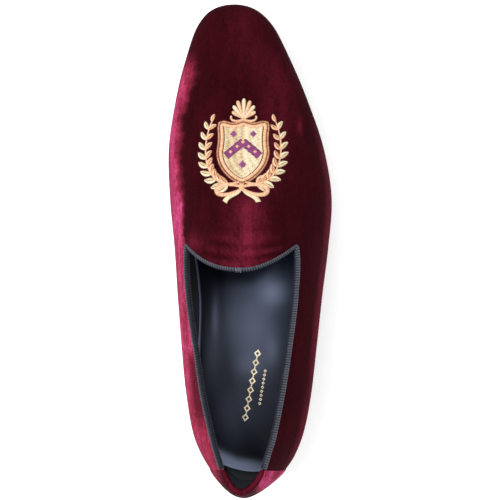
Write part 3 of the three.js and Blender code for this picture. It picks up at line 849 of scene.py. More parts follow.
@dataclass(frozen=True)
class Finish:
    """A material: two colours mixed by an effect's mask, how it shines, and where its glow colours lay
    painted light that turns it pale.
    """

    name: str
    effect: Effect
    dark: Colour
    light: Colour
    mask_from: float = 0.35
    mask_to: float = 0.65
    roughness: Point = (0.5, 0.6)
    metallic: float = 0.0
    specular: float = 0.5
    bump_mm: float = 0.1
    strength: float = 1.0
    sheen: float = 0.0
    sheen_colour: Colour = (1.0, 1.0, 1.0)
    sheen_roughness: float = 0.4
    coat: float = 0.0
    coat_roughness: float = 0.2
    # The glow fields lay painted light over the two colours, as much as a point attribute says; for thread it
    # also holds how pale the thread is.
    glow_value: str = ""
    glow_middle: Colour | None = None
    glow_colour: Colour = (0.0, 0.0, 0.0)
    glow_range: Point = (1.0, 1.0)
    emission: float = 0.0
    follows: Point = (0.3, 0.7)

    def material(self) -> bpy.types.Material:
        """Makes the material, once.

        Returns:
            The material.
        """
        found = bpy.data.materials.get(self.name)
        if found:
            return found
        made = bpy.data.materials.new(self.name)
        made.use_nodes = True
        made.node_tree.nodes.clear()
        wires = Wiring(made.node_tree)
        place = wires.node("ShaderNodeTexCoord").outputs["Object"]
        in_mm = wires.node("ShaderNodeVectorMath", {0: place, 3: 1 / MM}, operation="SCALE").outputs[0]
        effect = wires.node("ShaderNodeGroup", node_tree=self.effect.group())
        wires.tree.links.new(in_mm, effect.inputs["Place"])
        effect.inputs["Strength"].default_value = self.strength
        mask = wires.span(effect.outputs["Mask"], self.mask_from, self.mask_to)
        colour = wires.blend(mask, self.dark, self.light)
        if self.glow_value:
            amount = wires.node("ShaderNodeAttribute", attribute_name=self.glow_value).outputs["Fac"]
            varied = wires.times(amount, wires.span(effect.outputs["Mask"], *self.follows, *self.glow_range))
            if self.glow_middle:
                colour = wires.blend(wires.span(varied, 0, 0.5), colour, self.glow_middle)
                colour = wires.blend(wires.span(varied, 0.5, 1), colour, self.glow_colour)
            else:
                colour = wires.blend(wires.span(varied, 0, 1), colour, self.glow_colour)
        relief = {"Height": effect.outputs["Height"], "Distance": self.bump_mm * MM, "Strength": 1.0}
        bump = wires.node("ShaderNodeBump", relief)
        shader = wires.node(
            "ShaderNodeBsdfPrincipled",
            {
                "Base Color": colour,
                "Roughness": wires.span(effect.outputs["Mask"], *self.follows, *self.roughness),
                "Metallic": self.metallic,
                "Specular IOR Level": self.specular,
                "Normal": bump.outputs[0],
                "Sheen Weight": self.sheen,
                "Sheen Tint": opaque(self.sheen_colour),
                "Sheen Roughness": self.sheen_roughness,
                "Coat Weight": self.coat,
                "Coat Roughness": self.coat_roughness,
                "Emission Color": opaque(self.light),
                "Emission Strength": self.emission,
            },
        )
        wires.node("ShaderNodeOutputMaterial", {0: shader.outputs[0]})
        return made


# Its glow colours are painted sheen and painted highlights on the pile, laid on by a point attribute.
VELVET = Finish(
    "burgundy_velvet", Effect.PILE, (0.0165, 0.0008, 0.002), (0.04, 0.002, 0.0055), 0.38, 0.72, (0.85, 0.95),
    specular=0.03, bump_mm=0.25, sheen=0.025, sheen_colour=(0.8, 0.15, 0.3), sheen_roughness=0.3,
    glow_value="nap", glow_middle=(0.205, 0.0152, 0.039), glow_colour=(0.465, 0.055, 0.175),
    glow_range=(0.1, 1.3),
)
# Its glow colour is painted light, used where the inside of the heel lies in shade.
LINING = Finish(
    "dark_lining", Effect.GRAIN, (0.008, 0.0095, 0.014), (0.016, 0.019, 0.027), roughness=(0.45, 0.6),
    bump_mm=0.05, glow_value="tone", glow_colour=(0.07, 0.08, 0.1),
)
# Its glow colours are painted highlights on the ribs and along two lines of the tape.
GROSGRAIN = Finish(
    "black_grosgrain", Effect.RIBS, (0.0025, 0.003, 0.006), (0.006, 0.008, 0.014), roughness=(0.6, 0.75),
    specular=0.12, bump_mm=0.06, glow_value="crown", glow_middle=(0.095, 0.102, 0.126),
    glow_colour=(0.42, 0.25, 0.31), glow_range=(0.75, 1.15),
)
# Its glow colour is painted light and painted highlights on the sock.
SOCK = Finish(
    "slate_sock_leather", Effect.GRAIN, (0.0035, 0.005, 0.011), (0.007, 0.0095, 0.019),
    roughness=(0.32, 0.44), specular=0.08, bump_mm=0.05, glow_value="tone", glow_colour=(0.4, 0.47, 0.69),
)
FOIL = Finish(
    "gold_foil", Effect.GRAIN, (0.5, 0.42, 0.28), (0.7, 0.62, 0.45), roughness=(0.3, 0.4), metallic=0.6,
    bump_mm=0.02,
)
SOLE_LEATHER = Finish(
    "waxed_sole_leather", Effect.GRAIN, (0.007, 0.0075, 0.0125), (0.017, 0.018, 0.029),
    roughness=(0.26, 0.38), specular=0.4, bump_mm=0.04, coat=0.25,
)
EDGE_LEATHER = Finish(
    "inked_edge", Effect.GRAIN, (0.004, 0.0045, 0.006), (0.009, 0.009, 0.011), roughness=(0.34, 0.44),
    specular=0.3, bump_mm=0.05,
)
RUBBER = Finish(
    "heel_rubber", Effect.GRIT, (0.018, 0.02, 0.028), (0.038, 0.042, 0.056), roughness=(0.55, 0.75),
    bump_mm=0.06,
)
COPPER = Finish(
    "copper_nails", Effect.BRUSH, (0.42, 0.17, 0.09), (0.72, 0.36, 0.22),
    roughness=(0.28, 0.45), metallic=1.0, bump_mm=0.02,
)
# Its glow colour is a painted highlight down each stitch's middle, also taken up by paler thread.
GOLD_THREAD = Finish(
    "gold_thread", Effect.PLY, (0.33, 0.12, 0.05), (0.5, 0.22, 0.1), roughness=(0.4, 0.6), bump_mm=0.05,
    specular=0.4, glow_value="tone", glow_colour=(0.8, 0.52, 0.32),
)
# Its glow colour is a painted highlight down each stitch's middle, also taken up by paler thread.
CREAM_THREAD = Finish(
    "cream_thread", Effect.PLY, (0.4, 0.27, 0.12), (0.52, 0.38, 0.2), roughness=(0.4, 0.6), bump_mm=0.05,
    specular=0.4, glow_value="tone", glow_colour=(0.76, 0.67, 0.48),
)
CONTOUR_THREAD = Finish(
    "contour_thread", Effect.PLY, (0.03, 0.004, 0.005), (0.07, 0.012, 0.012),
    roughness=(0.5, 0.7), bump_mm=0.05, specular=0.2,
)
# Its glow colour is a painted highlight down each stitch's middle, also taken up by paler thread.
PLUM_THREAD = Finish(
    "plum_thread", Effect.PLY, (0.06, 0.005, 0.04), (0.12, 0.014, 0.08), roughness=(0.35, 0.5), bump_mm=0.05,
    sheen=0.2, sheen_colour=(0.8, 0.4, 0.6), glow_value="tone", glow_colour=(0.24, 0.04, 0.16),
)
DARK_THREAD = Finish(
    "black_thread", Effect.PLY, (0.016, 0.016, 0.022), (0.08, 0.082, 0.098), roughness=(0.45, 0.6),
    bump_mm=0.05,
)
SLATE_THREAD = Finish(
    "slate_thread", Effect.PLY, (0.04, 0.043, 0.055), (0.16, 0.165, 0.19), roughness=(0.5, 0.65),
    bump_mm=0.05,
)
FLOOR = Finish(
    "studio_floor", Effect.GRIT, (0.86, 0.86, 0.86), (0.9, 0.9, 0.9), roughness=(0.9, 0.95), specular=0.1,
    bump_mm=0.01, emission=0.45,
)


# ---- Upper ----


@dataclass(frozen=True)
class Crease:
    """A soft trough or ridge on the vamp, along a bow in plan.

    Its middle lies ahead of the throat's, and its ends lie further back by the bow. A ridge has a
    depth under 0.
    """

    ahead: float
    bow: float
    half_length: float
    width: float
    depth: float
    tilt: float = 0.0

    def at(self, points: Array) -> Array:
        """Finds how deep the crease is.

        Args:
            points: points of the vamp.

        Returns:
            Depth under the plain surface at each point.
        """
        throat = LAST.back_y + LAST.throat_share * LAST.length
        x = points[..., 0] - float(LAST.curve("ridge_x", LAST.throat_share))
        y = throat + self.ahead + self.tilt * x - self.bow * (x / self.half_length) ** 2
        fade = 1 - soft(np.abs(x), 0.45 * self.half_length, self.half_length)
        above = soft(points[..., 2], 30, 45)
        return self.depth * np.exp(-(((points[..., 1] - y) / self.width) ** 2)) * fade * above


VAMP_CREASES = (
    Crease(ahead=6.5, bow=-5.0, half_length=27, width=1.1, depth=0.32, tilt=0.03),
    Crease(ahead=9.5, bow=-6.0, half_length=30, width=1.6, depth=-0.22),
    Crease(ahead=13.0, bow=-4.0, half_length=24, width=1.2, depth=0.26, tilt=-0.05),
    Crease(ahead=17.5, bow=-3.0, half_length=26, width=2.0, depth=-0.16),
    Crease(ahead=23.0, bow=-2.0, half_length=18, width=1.6, depth=0.14, tilt=0.06),
)


PAINTED_SHEEN_BAND = table(  # painted sheen up the inner side, by how far it reaches in from the outline
    "y reach blur level",
    [(-148, 30, 4, 0.65), (-125, 26, 4, 0.7), (-100, 20, 3, 0.75), (-60, 14, 2, 0.95), (-20, 9, 1.2, 0.9),
     (15, 9, 1.2, 1.0), (24, 9.5, 2, 1.0), (31, 10, 3, 0.9), (42, 8.5, 3.5, 0.85), (60, 8, 4, 0.9),
     (76, 6.5, 3.5, 1.0), (88, 7, 4, 1.0), (99, 8.5, 5, 1.0), (107, 8, 5, 0.75), (113, 7, 5, 0.35),
     (119, 6, 4, 0.0)],
)
PAINTED_SHEEN_STREAKS = table(  # painted sheen streaks along the vamp: about x + slant * y, between two soft ends
    "x slant half level begins full fades ends",
    [(0.5, 0, 9.5, 0.28, -20, 0, 22, 40), (12, 0.06, 10, 0.09, 20, 60, 98, 128),
     (43, -0.35, 11, 0.06, 88, 124, 140, 148)],
)
# Painted highlight spots on the vamp and on the inner side.
PAINTED_SHEEN_PATCHES = table("x y half_x half_y level", [(-30, 3, 6, 5, 0.16), (30.5, 72, 1.6, 5, 0.2)])
PAINTED_SIDE_HIGHLIGHTS = table("x y half_x half_y level", [(-40.3, 27, 1.5, 6, 0.5)])


@dataclass(frozen=True)
class VelvetUpper:
    """One-piece velvet upper and its lining."""

    wall: float = 2.0
    velvet: float = 1.1
    lining_gap: float = 0.05
    pucker: float = 0.1
    swell: float = 0.12
    # Levels of painted sheen: at the outer edge, low down, and cut back next to the inner binding; and of
    # painted shade in the creases.
    outer_sheen: float = 0.2
    low_sheen: float = 0.28
    binding_sheen_cut: float = 0.75
    crease_shade: float = 0.35
    velvet_steps: tuple[int, int] = (18, 66)
    lining_steps: tuple[int, int] = (12, 44)

    def grids(self, outer: float, inner: float, shaped: bool) -> tuple[Array, Array, Array]:
        """Grids of the wall between two distances in from the last's surface.

        Args:
            outer: distance in of the outer grid.
            inner: distance in of the inner grid.
            shaped: whether creases and puckers are worked in.

        Returns:
            The outer grid, the inner grid and the rise at the top of each row.
        """
        fronts, backs, tops = [], [], []
        for side in (Side.OUTER, Side.INNER):
            ribs = Ribs(side)
            share, rise = ribs.places(*(self.velvet_steps if shaped else self.lining_steps))
            points, normals = LAST.point(side, share, rise), LAST.normal(side, share, rise)
            down = self.relief(points, rise) if shaped else 0 * rise
            kept = slice(None) if side is Side.OUTER else slice(-2, 0, -1)
            fronts.append((points - normals * (outer + down)[..., None])[kept])
            backs.append((points - normals * (inner + 0.6 * down)[..., None])[kept])
            tops.append(ribs.tops[2][kept])
        return np.concatenate(fronts), np.concatenate(backs), np.concatenate(tops)

    def relief(self, points: Array, rise: Array) -> Array:
        """Works out the velvet's creases, puckers and slow unevenness.

        Args:
            points: points on the plain form.
            rise: rise of each point.

        Returns:
            How far under the plain form the velvet lies.
        """
        down = sum(crease.at(points) for crease in VAMP_CREASES)
        near_sole = np.exp(-((rise / 0.16) ** 2)) * soft(rise, 0.0, 0.03)
        pull = np.sin(points[..., 1] * 0.74) + np.sin(points[..., 1] * 1.13 + 1.3)
        slow = np.sin(points[..., 1] * 0.085 + points[..., 0] * 0.05) * soft(rise, 0.2, 0.5)
        return down + self.pucker * near_sole * pull + self.swell * slow * soft(points[..., 2], 24, 34)

    def nap(self, points: Array) -> Array:
        """Works out the velvet's painted sheen and highlights, with painted shade in its creases.

        Args:
            points: points of the velvet.

        Returns:
            Amount of painted sheen at each point.
        """
        x, y, z = (points[..., i] for i in range(3))
        share = np.clip((y - LAST.back_y) / LAST.length, 0, 1)
        ridge = LAST.curve("ridge_x", share)
        from_inner = x - ridge + LAST.width("bulge", Side.INNER, share)
        from_outer = LAST.width("bulge", Side.OUTER, share) + ridge - x
        over_bulge = soft(z, 11, 29)
        # Painted sheen up the inner side, in a band with a ragged edge.
        reach, blur, level = (np.interp(y, PAINTED_SHEEN_BAND.y, PAINTED_SHEEN_BAND[name]) for name in ("reach", "blur", "level"))
        ragged = 0.7 * np.sin(0.37 * y + 0.3 * z) + 0.5 * np.sin(0.83 * y - 0.2 * z) + 0.3 * np.sin(1.9 * y)
        from_edge = from_inner + ragged * np.clip(blur / 2.5, 0.25, 1)
        inner = level * (1 - soft(from_edge, reach - blur, reach + blur))
        # Less painted sheen in a stretch next to the inner binding, and less below the bulge.
        sheen_cut_edge = -37 - 0.1 * (y + 60)
        crushed = soft(x, sheen_cut_edge, sheen_cut_edge + 3.5) * soft(-y, 58, 68) * (1 - soft(-y, 92, 112))
        inner = inner * (1 - self.binding_sheen_cut * crushed) * between(self.low_sheen, 1, over_bulge)
        # Painted rim sheen along the outer side's edge.
        outer = self.outer_sheen * (1 - soft(from_outer, 1.0, 4.5))
        outer = outer * (1 - soft(y, 48, 80)) * soft(y, -136, -118)
        # Painted sheen streaks along the vamp.
        streaks = sum(
            r.level * np.exp(-(((x - r.x - r.slant * y) / r.half) ** 2))
            * soft(y, r.begins, r.full) * (1 - soft(y, r.fades, r.ends))
            for r in PAINTED_SHEEN_STREAKS
        )
        # Painted highlight along the throat's lip.
        ahead = y + 16 - 19 * ((x + 5) / 33.5) ** 2
        lip = 0.2 * np.exp(-(((ahead - 3) / 5) ** 2)) + 0.22 * np.exp(-(((ahead - 1.5) / 1.2) ** 2))
        lip = lip * np.exp(-(((x + 5) / 13) ** 2)) * soft(z, 50, 60)
        # Painted shade in the creases' troughs and painted highlight on their ridges.
        painted_crease_shade = -self.crease_shade * sum(crease.at(points) for crease in VAMP_CREASES)
        # Painted highlight spots.
        painted_highlight_spots = patches(PAINTED_SHEEN_PATCHES, x, y) + patches(PAINTED_SIDE_HIGHLIGHTS, x, y) * over_bulge
        return np.clip(inner + outer + streaks + lip + painted_crease_shade + painted_highlight_spots, 0, 1)

    def build(self) -> None:
        """Makes the velvet and the lining."""
        front, back, tops = self.grids(0.0, self.velvet, True)
        velvet = Sheet()
        # The velvet's painted sheen is stored as a point attribute.
        nap = self.nap(front)
        velvet.shell(front, back, loop=True, rim=tops < 1, nap=nap)
        Piece("velvet_upper", VELVET, "velvet", ("upper",)).build(velvet)
        front, back, tops = self.grids(self.velvet + self.lining_gap, self.wall, False)
        lining = Sheet()
        # Painted light on the lining, rising towards the back, lifts the shade deep in the heel.
        lining.shell(front, back, loop=True, rim=tops < 1, tone=soft(-front[..., 1], 112, 134))
        Piece("upper_lining", LINING, "sock_leather").build(lining)


# ---- Embroidery ----


def bezier(start: Point, first: Point, second: Point, end: Point, t: Array) -> Array:
    """Draws a cubic curve in plan.

    Args:
        start: its start.
        first: what it leaves the start towards.
        second: what it comes to the end from.
        end: its end.
        t: places along it, from 0 to 1.

    Returns:
        A point for each place.
    """
    a, b, c, d = (np.array(p, float) for p in (start, first, second, end))
    t = np.asarray(t)[:, None]
    return a * (1 - t) ** 3 + 3 * b * t * (1 - t) ** 2 + 3 * c * t**2 * (1 - t) + d * t**3


@dataclass
class Stitches:
    """Satin stitches in plan: where each starts and ends, and how far it stands up."""

    name: str
    finish: Finish
    pitch: float = 0.36
    radius: float = 0.25
    base_lift: float = 0.1
    ends: list[Array] = field(default_factory=list)
    lifts: list[Array] = field(default_factory=list)
    tones: list[Array] = field(default_factory=list)
    contour: "Stitches | None" = None
    contour_reach: float = 0.48
    contour_lift: float = 0.3

    def add(self, starts: Array, stops: Array, lift: float | Array, tone: float | Array = 0.7) -> None:
        """Adds stitches, and their dark contour where there is one.

        Args:
            starts: one end of each.
            stops: the other end of each.
            lift: how far they stand up.
            tone: how pale their thread is, from 0 to 1.
        """
        self.ends.append(np.stack([starts, stops], 1))
        self.lifts.append(np.broadcast_to(lift, len(starts)))
        self.tones.append(np.broadcast_to(tone, len(starts)))
        if self.contour:
            way = unit(stops - starts) * self.contour_reach
            self.contour.add(starts - way, stops + way, self.contour_lift * np.asarray(lift))

    def band(
        self, line: Array, width: float | Array, lift: float = 0.5, slant: float = 0.25, tone: float = 0.7
    ) -> None:
        """Adds a satin band along a line.

        Args:
            line: points of the band's middle.
            width: width along the line, one number or one for each point.
            lift: how far the middle of the band stands up.
            slant: lean of the stitches, as a share of their length.
            tone: how pale the thread is.
        """
        walked = walk(line)
        at = np.linspace(0, walked[-1], max(int(walked[-1] / self.pitch), 2) + 1)
        middle = pick(line, walked, at)
        half = np.interp(at, walked, np.broadcast_to(width, len(line)))[:, None] / 2
        way = unit(np.gradient(middle, axis=0))
        across = np.stack([-way[:, 1], way[:, 0]], -1)
        reach = (across + slant * way) * half
        self.add(middle - reach, middle + reach, lift * np.clip(half[:, 0] / np.max(half), 0.3, 1), tone)

    def leaf(self, base: Array, way: Array, length: float, width: float) -> None:
        """Adds an almond-shaped leaf, in two halves that meet at a vein; one half is painted darker as shade.

        Args:
            base: its foot.
            way: which way it points.
            length: its length.
            width: its width.
        """
        t = np.linspace(0.0, 1.0, 16)
        side = np.array([-way[1], way[0]])
        middle = base + way * (length * t)[:, None] + side * (0.08 * length * np.sin(math.pi * t))[:, None]
        spread = width * np.sin(math.pi * t**0.85) ** 0.8
        for sign in (-1, 1):
            half = middle + side * (sign * spread / 4)[:, None]
            # One half is painted darker, as shade.
            self.band(half, 0.45 * spread, 0.4, 0.7 * sign, 0.6 + 0.3 * sign)

    def fill(self, low: float, high: float, edge: Curve, length: float, lift: float = 0.3) -> None:
        """Adds rows of long stitches, laid like bricks between two edges.

        Args:
            low: V of the first row.
            high: V of the last row.
            edge: half width at each V.
            length: length of a stitch.
            lift: how far the stitches stand up.
        """
        rows = np.arange(low, high, self.pitch)
        for number, v in enumerate(rows):
            half = float(edge(v))
            offset = (number * 0.382 % 1) * length
            marks = np.arange(-half - offset, half + length, length)
            cuts = np.unique(np.clip(marks, -half, half))
            if len(cuts) > 1:
                points = np.stack([cuts, 0 * cuts + v], -1)
                right = points[:-1, 0] + points[1:, 0] > 0
                tone = np.where(right, 1.15, 0.65) - 0.5 * (np.arange(len(cuts) - 1) % 2)
                self.add(points[:-1] + [0.04, 0], points[1:] - [0.04, 0], lift, tone)

    def build(self, centre: Point) -> None:
        """Makes the stitches over the vamp.

        Args:
            centre: their origin in plan.
        """
        ends, lifts = np.concatenate(self.ends), np.concatenate(self.lifts)
        t = np.array([0.0, 0.12, 0.35, 0.65, 0.88, 1.0])
        plan = between(ends[:, None, 0], ends[:, None, 1], t[None, :, None]) + np.array(centre)
        arch = np.sin(math.pi * np.clip(t, 0.04, 0.96)) ** 0.6
        height = self.base_lift + lifts[:, None] * arch[None]
        found, normals = LAST.over(plan[..., 0].ravel(), plan[..., 1].ravel(), height.ravel())
        swell = np.array([0.6, 0.9, 1.0, 1.0, 0.9, 0.6])
        shape = (*plan.shape[:2], 3)
        tones = np.concatenate(self.tones)
        sheet = strips(found.reshape(shape), normals.reshape(shape), self.radius, swell, 5, 0.75, tones)
        Piece(self.name, self.finish, "").build(sheet, weld=0)


@dataclass(frozen=True)
class Crest:
    """Embroidered crest: a chevron shield between two laurel sprays, a scallop above and a bow below."""

    centre: Point = (-2.9, 57.9)
    shield_half: float = 12.2
    shield_top: float = 14.5
    shield_tip: float = -17.5
    straight_to: float = -1.0

    def half_width(self, v: Array) -> Array:
        """Works out the shield's form.

        Args:
            v: heights on the shield.

        Returns:
            Half width at each height.
        """
        down = np.clip((self.straight_to - v) / (self.straight_to - self.shield_tip), 0, 1)
        up = np.clip((v - self.straight_to) / (self.shield_top - self.straight_to), 0, 1)
        return self.shield_half * (1 - down**2.1) ** 0.8 - 0.7 * np.sin(math.pi * up)

    def shield_line(self, out: float) -> Array:
        """Draws the shield's outline.

        Args:
            out: how far outside the shield's edge it runs.

        Returns:
            Points of the closed line.
        """
        v = between(self.shield_top, self.shield_tip, np.linspace(0, 1, 60) ** 0.8)
        right = np.stack([self.half_width(v), v], -1)
        u = np.linspace(-self.shield_half, self.shield_half, 31)[1:-1]
        top = np.stack([u, self.shield_top - 1.5 * np.sin(math.pi * np.abs(u) / self.shield_half)], -1)
        loop = np.concatenate([top, right, (right * [-1, 1])[-2::-1]])
        way = unit(np.roll(loop, -2, axis=0) - np.roll(loop, 2, axis=0))
        moved = loop + np.stack([-way[:, 1], way[:, 0]], -1) * out
        return np.concatenate([moved, moved[:1]])

    def build(self) -> None:
        """Makes the stitches in four colours of thread."""
        contour = Stitches("embroidery_contour", CONTOUR_THREAD)
        ground = Stitches("embroidery_ground", CREAM_THREAD)
        gold = Stitches("embroidery_gold", GOLD_THREAD, contour=contour)
        cream = Stitches("embroidery_cream", CREAM_THREAD, contour=contour)
        plum = Stitches("embroidery_plum", PLUM_THREAD, contour=contour)
        self.shield(ground, gold, plum)
        for side in Side:
            self.laurel(gold, cream, side.value)
            self.bow(gold, cream, side.value)
        self.scallop(gold, cream)
        gold.band(np.array([[0.0, -20.9], [0.0, -24.6]]), 3.4, 0.9)
        for stitches in (contour, ground, gold, cream, plum):
            stitches.build(self.centre)

    def shield(self, ground: Stitches, gold: Stitches, plum: Stitches) -> None:
        """Works the shield: laid ground, border, chevron and lozenges.

        Args:
            ground: stitches of the ground.
            gold: stitches of the border.
            plum: stitches of the chevron.
        """
        ground.fill(self.shield_tip + 0.8, self.shield_top - 0.4, lambda v: self.half_width(v) - 0.5, 2.2)
        gold.band(self.shield_line(1.0), 2.0, 0.85)
        gold.band(self.shield_line(2.9), 1.0, 0.55, tone=0.1)
        for sign in (-1, 1):
            arm = np.stack([sign * np.linspace(0, 9.8, 12), 4.6 - 0.85 * np.linspace(0, 9.8, 12)], -1)
            plum.band(arm, 5.4, 0.75, 0.0)
            for u in (3.4, 7.2):
                self.lozenge(gold, sign * u, 4.6 - 0.85 * u, 1.9, 1.25)
            self.lozenge(plum, sign * 5.9, 9.4, 2.9, 0.7)
        self.lozenge(plum, 0.0, -9.0, 3.4, 0.7)
        self.lozenge(gold, 0.0, 4.4, 2.2, 1.25)

    def lozenge(self, stitches: Stitches, u: float, v: float, size: float, lift: float) -> None:
        """One lozenge."""
        t = np.linspace(-1, 1, 9)
        stitches.band(np.stack([u + 0 * t, v + size * t], -1), 1.5 * size * (1 - np.abs(t)) + 0.1, lift, 0.0)

    def laurel(self, gold: Stitches, cream: Stitches, sign: int) -> None:
        """Works one spray: a stem with leaves to both sides.

        Args:
            gold: stitches of the stem and the inner leaves.
            cream: stitches of the outer leaves.
            sign: 1 to the right of the shield, -1 to the left.
        """
        t = np.linspace(0, 1, 40)
        flip = np.array([sign, 1])
        stem = bezier((2.0, -19.5), (20.0, -25.5), (27.0, -3.0), (19.0, 17.0), t) * flip
        gold.band(stem, between(1.3, 0.7, t), 0.6)
        for number in range(9):
            place = 0.13 + 0.1 * number
            index = int(place * 39)
            way = unit(stem[index + 1] - stem[index - 1])
            for turn, stitches in ((0.72, gold), (-0.72, cream)):
                angle = turn * sign
                spin = np.array([[math.cos(angle), -math.sin(angle)], [math.sin(angle), math.cos(angle)]])
                size = 1.0 - 0.035 * number if turn < 0 else 0.92 - 0.03 * number
                stitches.leaf(stem[index], spin @ way, 7.8 * size, 3.9 * size)
        gold.leaf(stem[-1], unit(stem[-1] - stem[-3]), 5.0, 2.4)

    def scallop(self, gold: Stitches, cream: Stitches) -> None:
        """Works the shell: ribs fanned from a base, between two small curls.

        Args:
            gold: stitches of every other rib and the curls.
            cream: stitches of the ribs between.
        """
        base = np.array([0.0, 18.6])
        for number, angle in enumerate(np.linspace(-1.0, 1.0, 7)):
            way = np.array([math.sin(angle), math.cos(angle)])
            reach = 12.2 - 4.2 * abs(angle) ** 1.6
            t = np.linspace(0.08, 1, 14)
            width = 0.7 + 2.3 * t * np.sqrt(np.clip(1 - t**8, 0.05, 1))
            (cream if number % 2 else gold).band(base + way * (reach * t)[:, None], width, 0.8, 0.0)
        t = np.linspace(0, 1, 20)
        for sign in (-1, 1):
            curl = bezier((0.0, 18.2), (4.5, 16.4), (8.4, 17.6), (7.4, 20.2), t) * np.array([sign, 1])
            gold.band(curl, between(1.5, 1.1, t), 0.7)

    def bow(self, gold: Stitches, cream: Stitches, sign: int) -> None:
        """Works half of the bow: a loop and a tail.

        Args:
            gold: stitches of the loop.
            cream: stitches of the tail.
            sign: 1 to the right, -1 to the left.
        """
        t = np.linspace(0, 1, 40)
        flip = np.array([sign, 1])
        loop = bezier((1.2, -22.0), (19.5, -16.5), (19.5, -33.5), (1.2, -24.2), t) * flip
        gold.band(loop, 1.6 + 1.1 * np.sin(math.pi * t), 0.8)
        tail = bezier((0.9, -24.4), (3.2, -27.6), (8.4, -27.2), (9.8, -31.2), t) * flip
        cream.band(tail, between(1.5, 3.0, t), 0.6)


# ---- Edge binding ----


class Arm(Enum):
    """Stretches of the shoe's top edge, in order."""

    OUTER_COLLAR = 0
    THROAT = 1
    INNER_COLLAR = 2


@dataclass(frozen=True)
class TapeLight:
    """How one arm's ribs catch the light: over how much of the tape, how strongly, and at two lines."""

    reach: float
    ribs: float
    roll: float
    selvedge: float


TAPE_LIGHT = {
    Arm.OUTER_COLLAR: TapeLight(0.38, 0.36, 0.4, 1.15),
    Arm.THROAT: TapeLight(0.27, 0.28, 0.4, 0.45),
    Arm.INNER_COLLAR: TapeLight(0.22, 0.28, 0.8, 0.45),
}


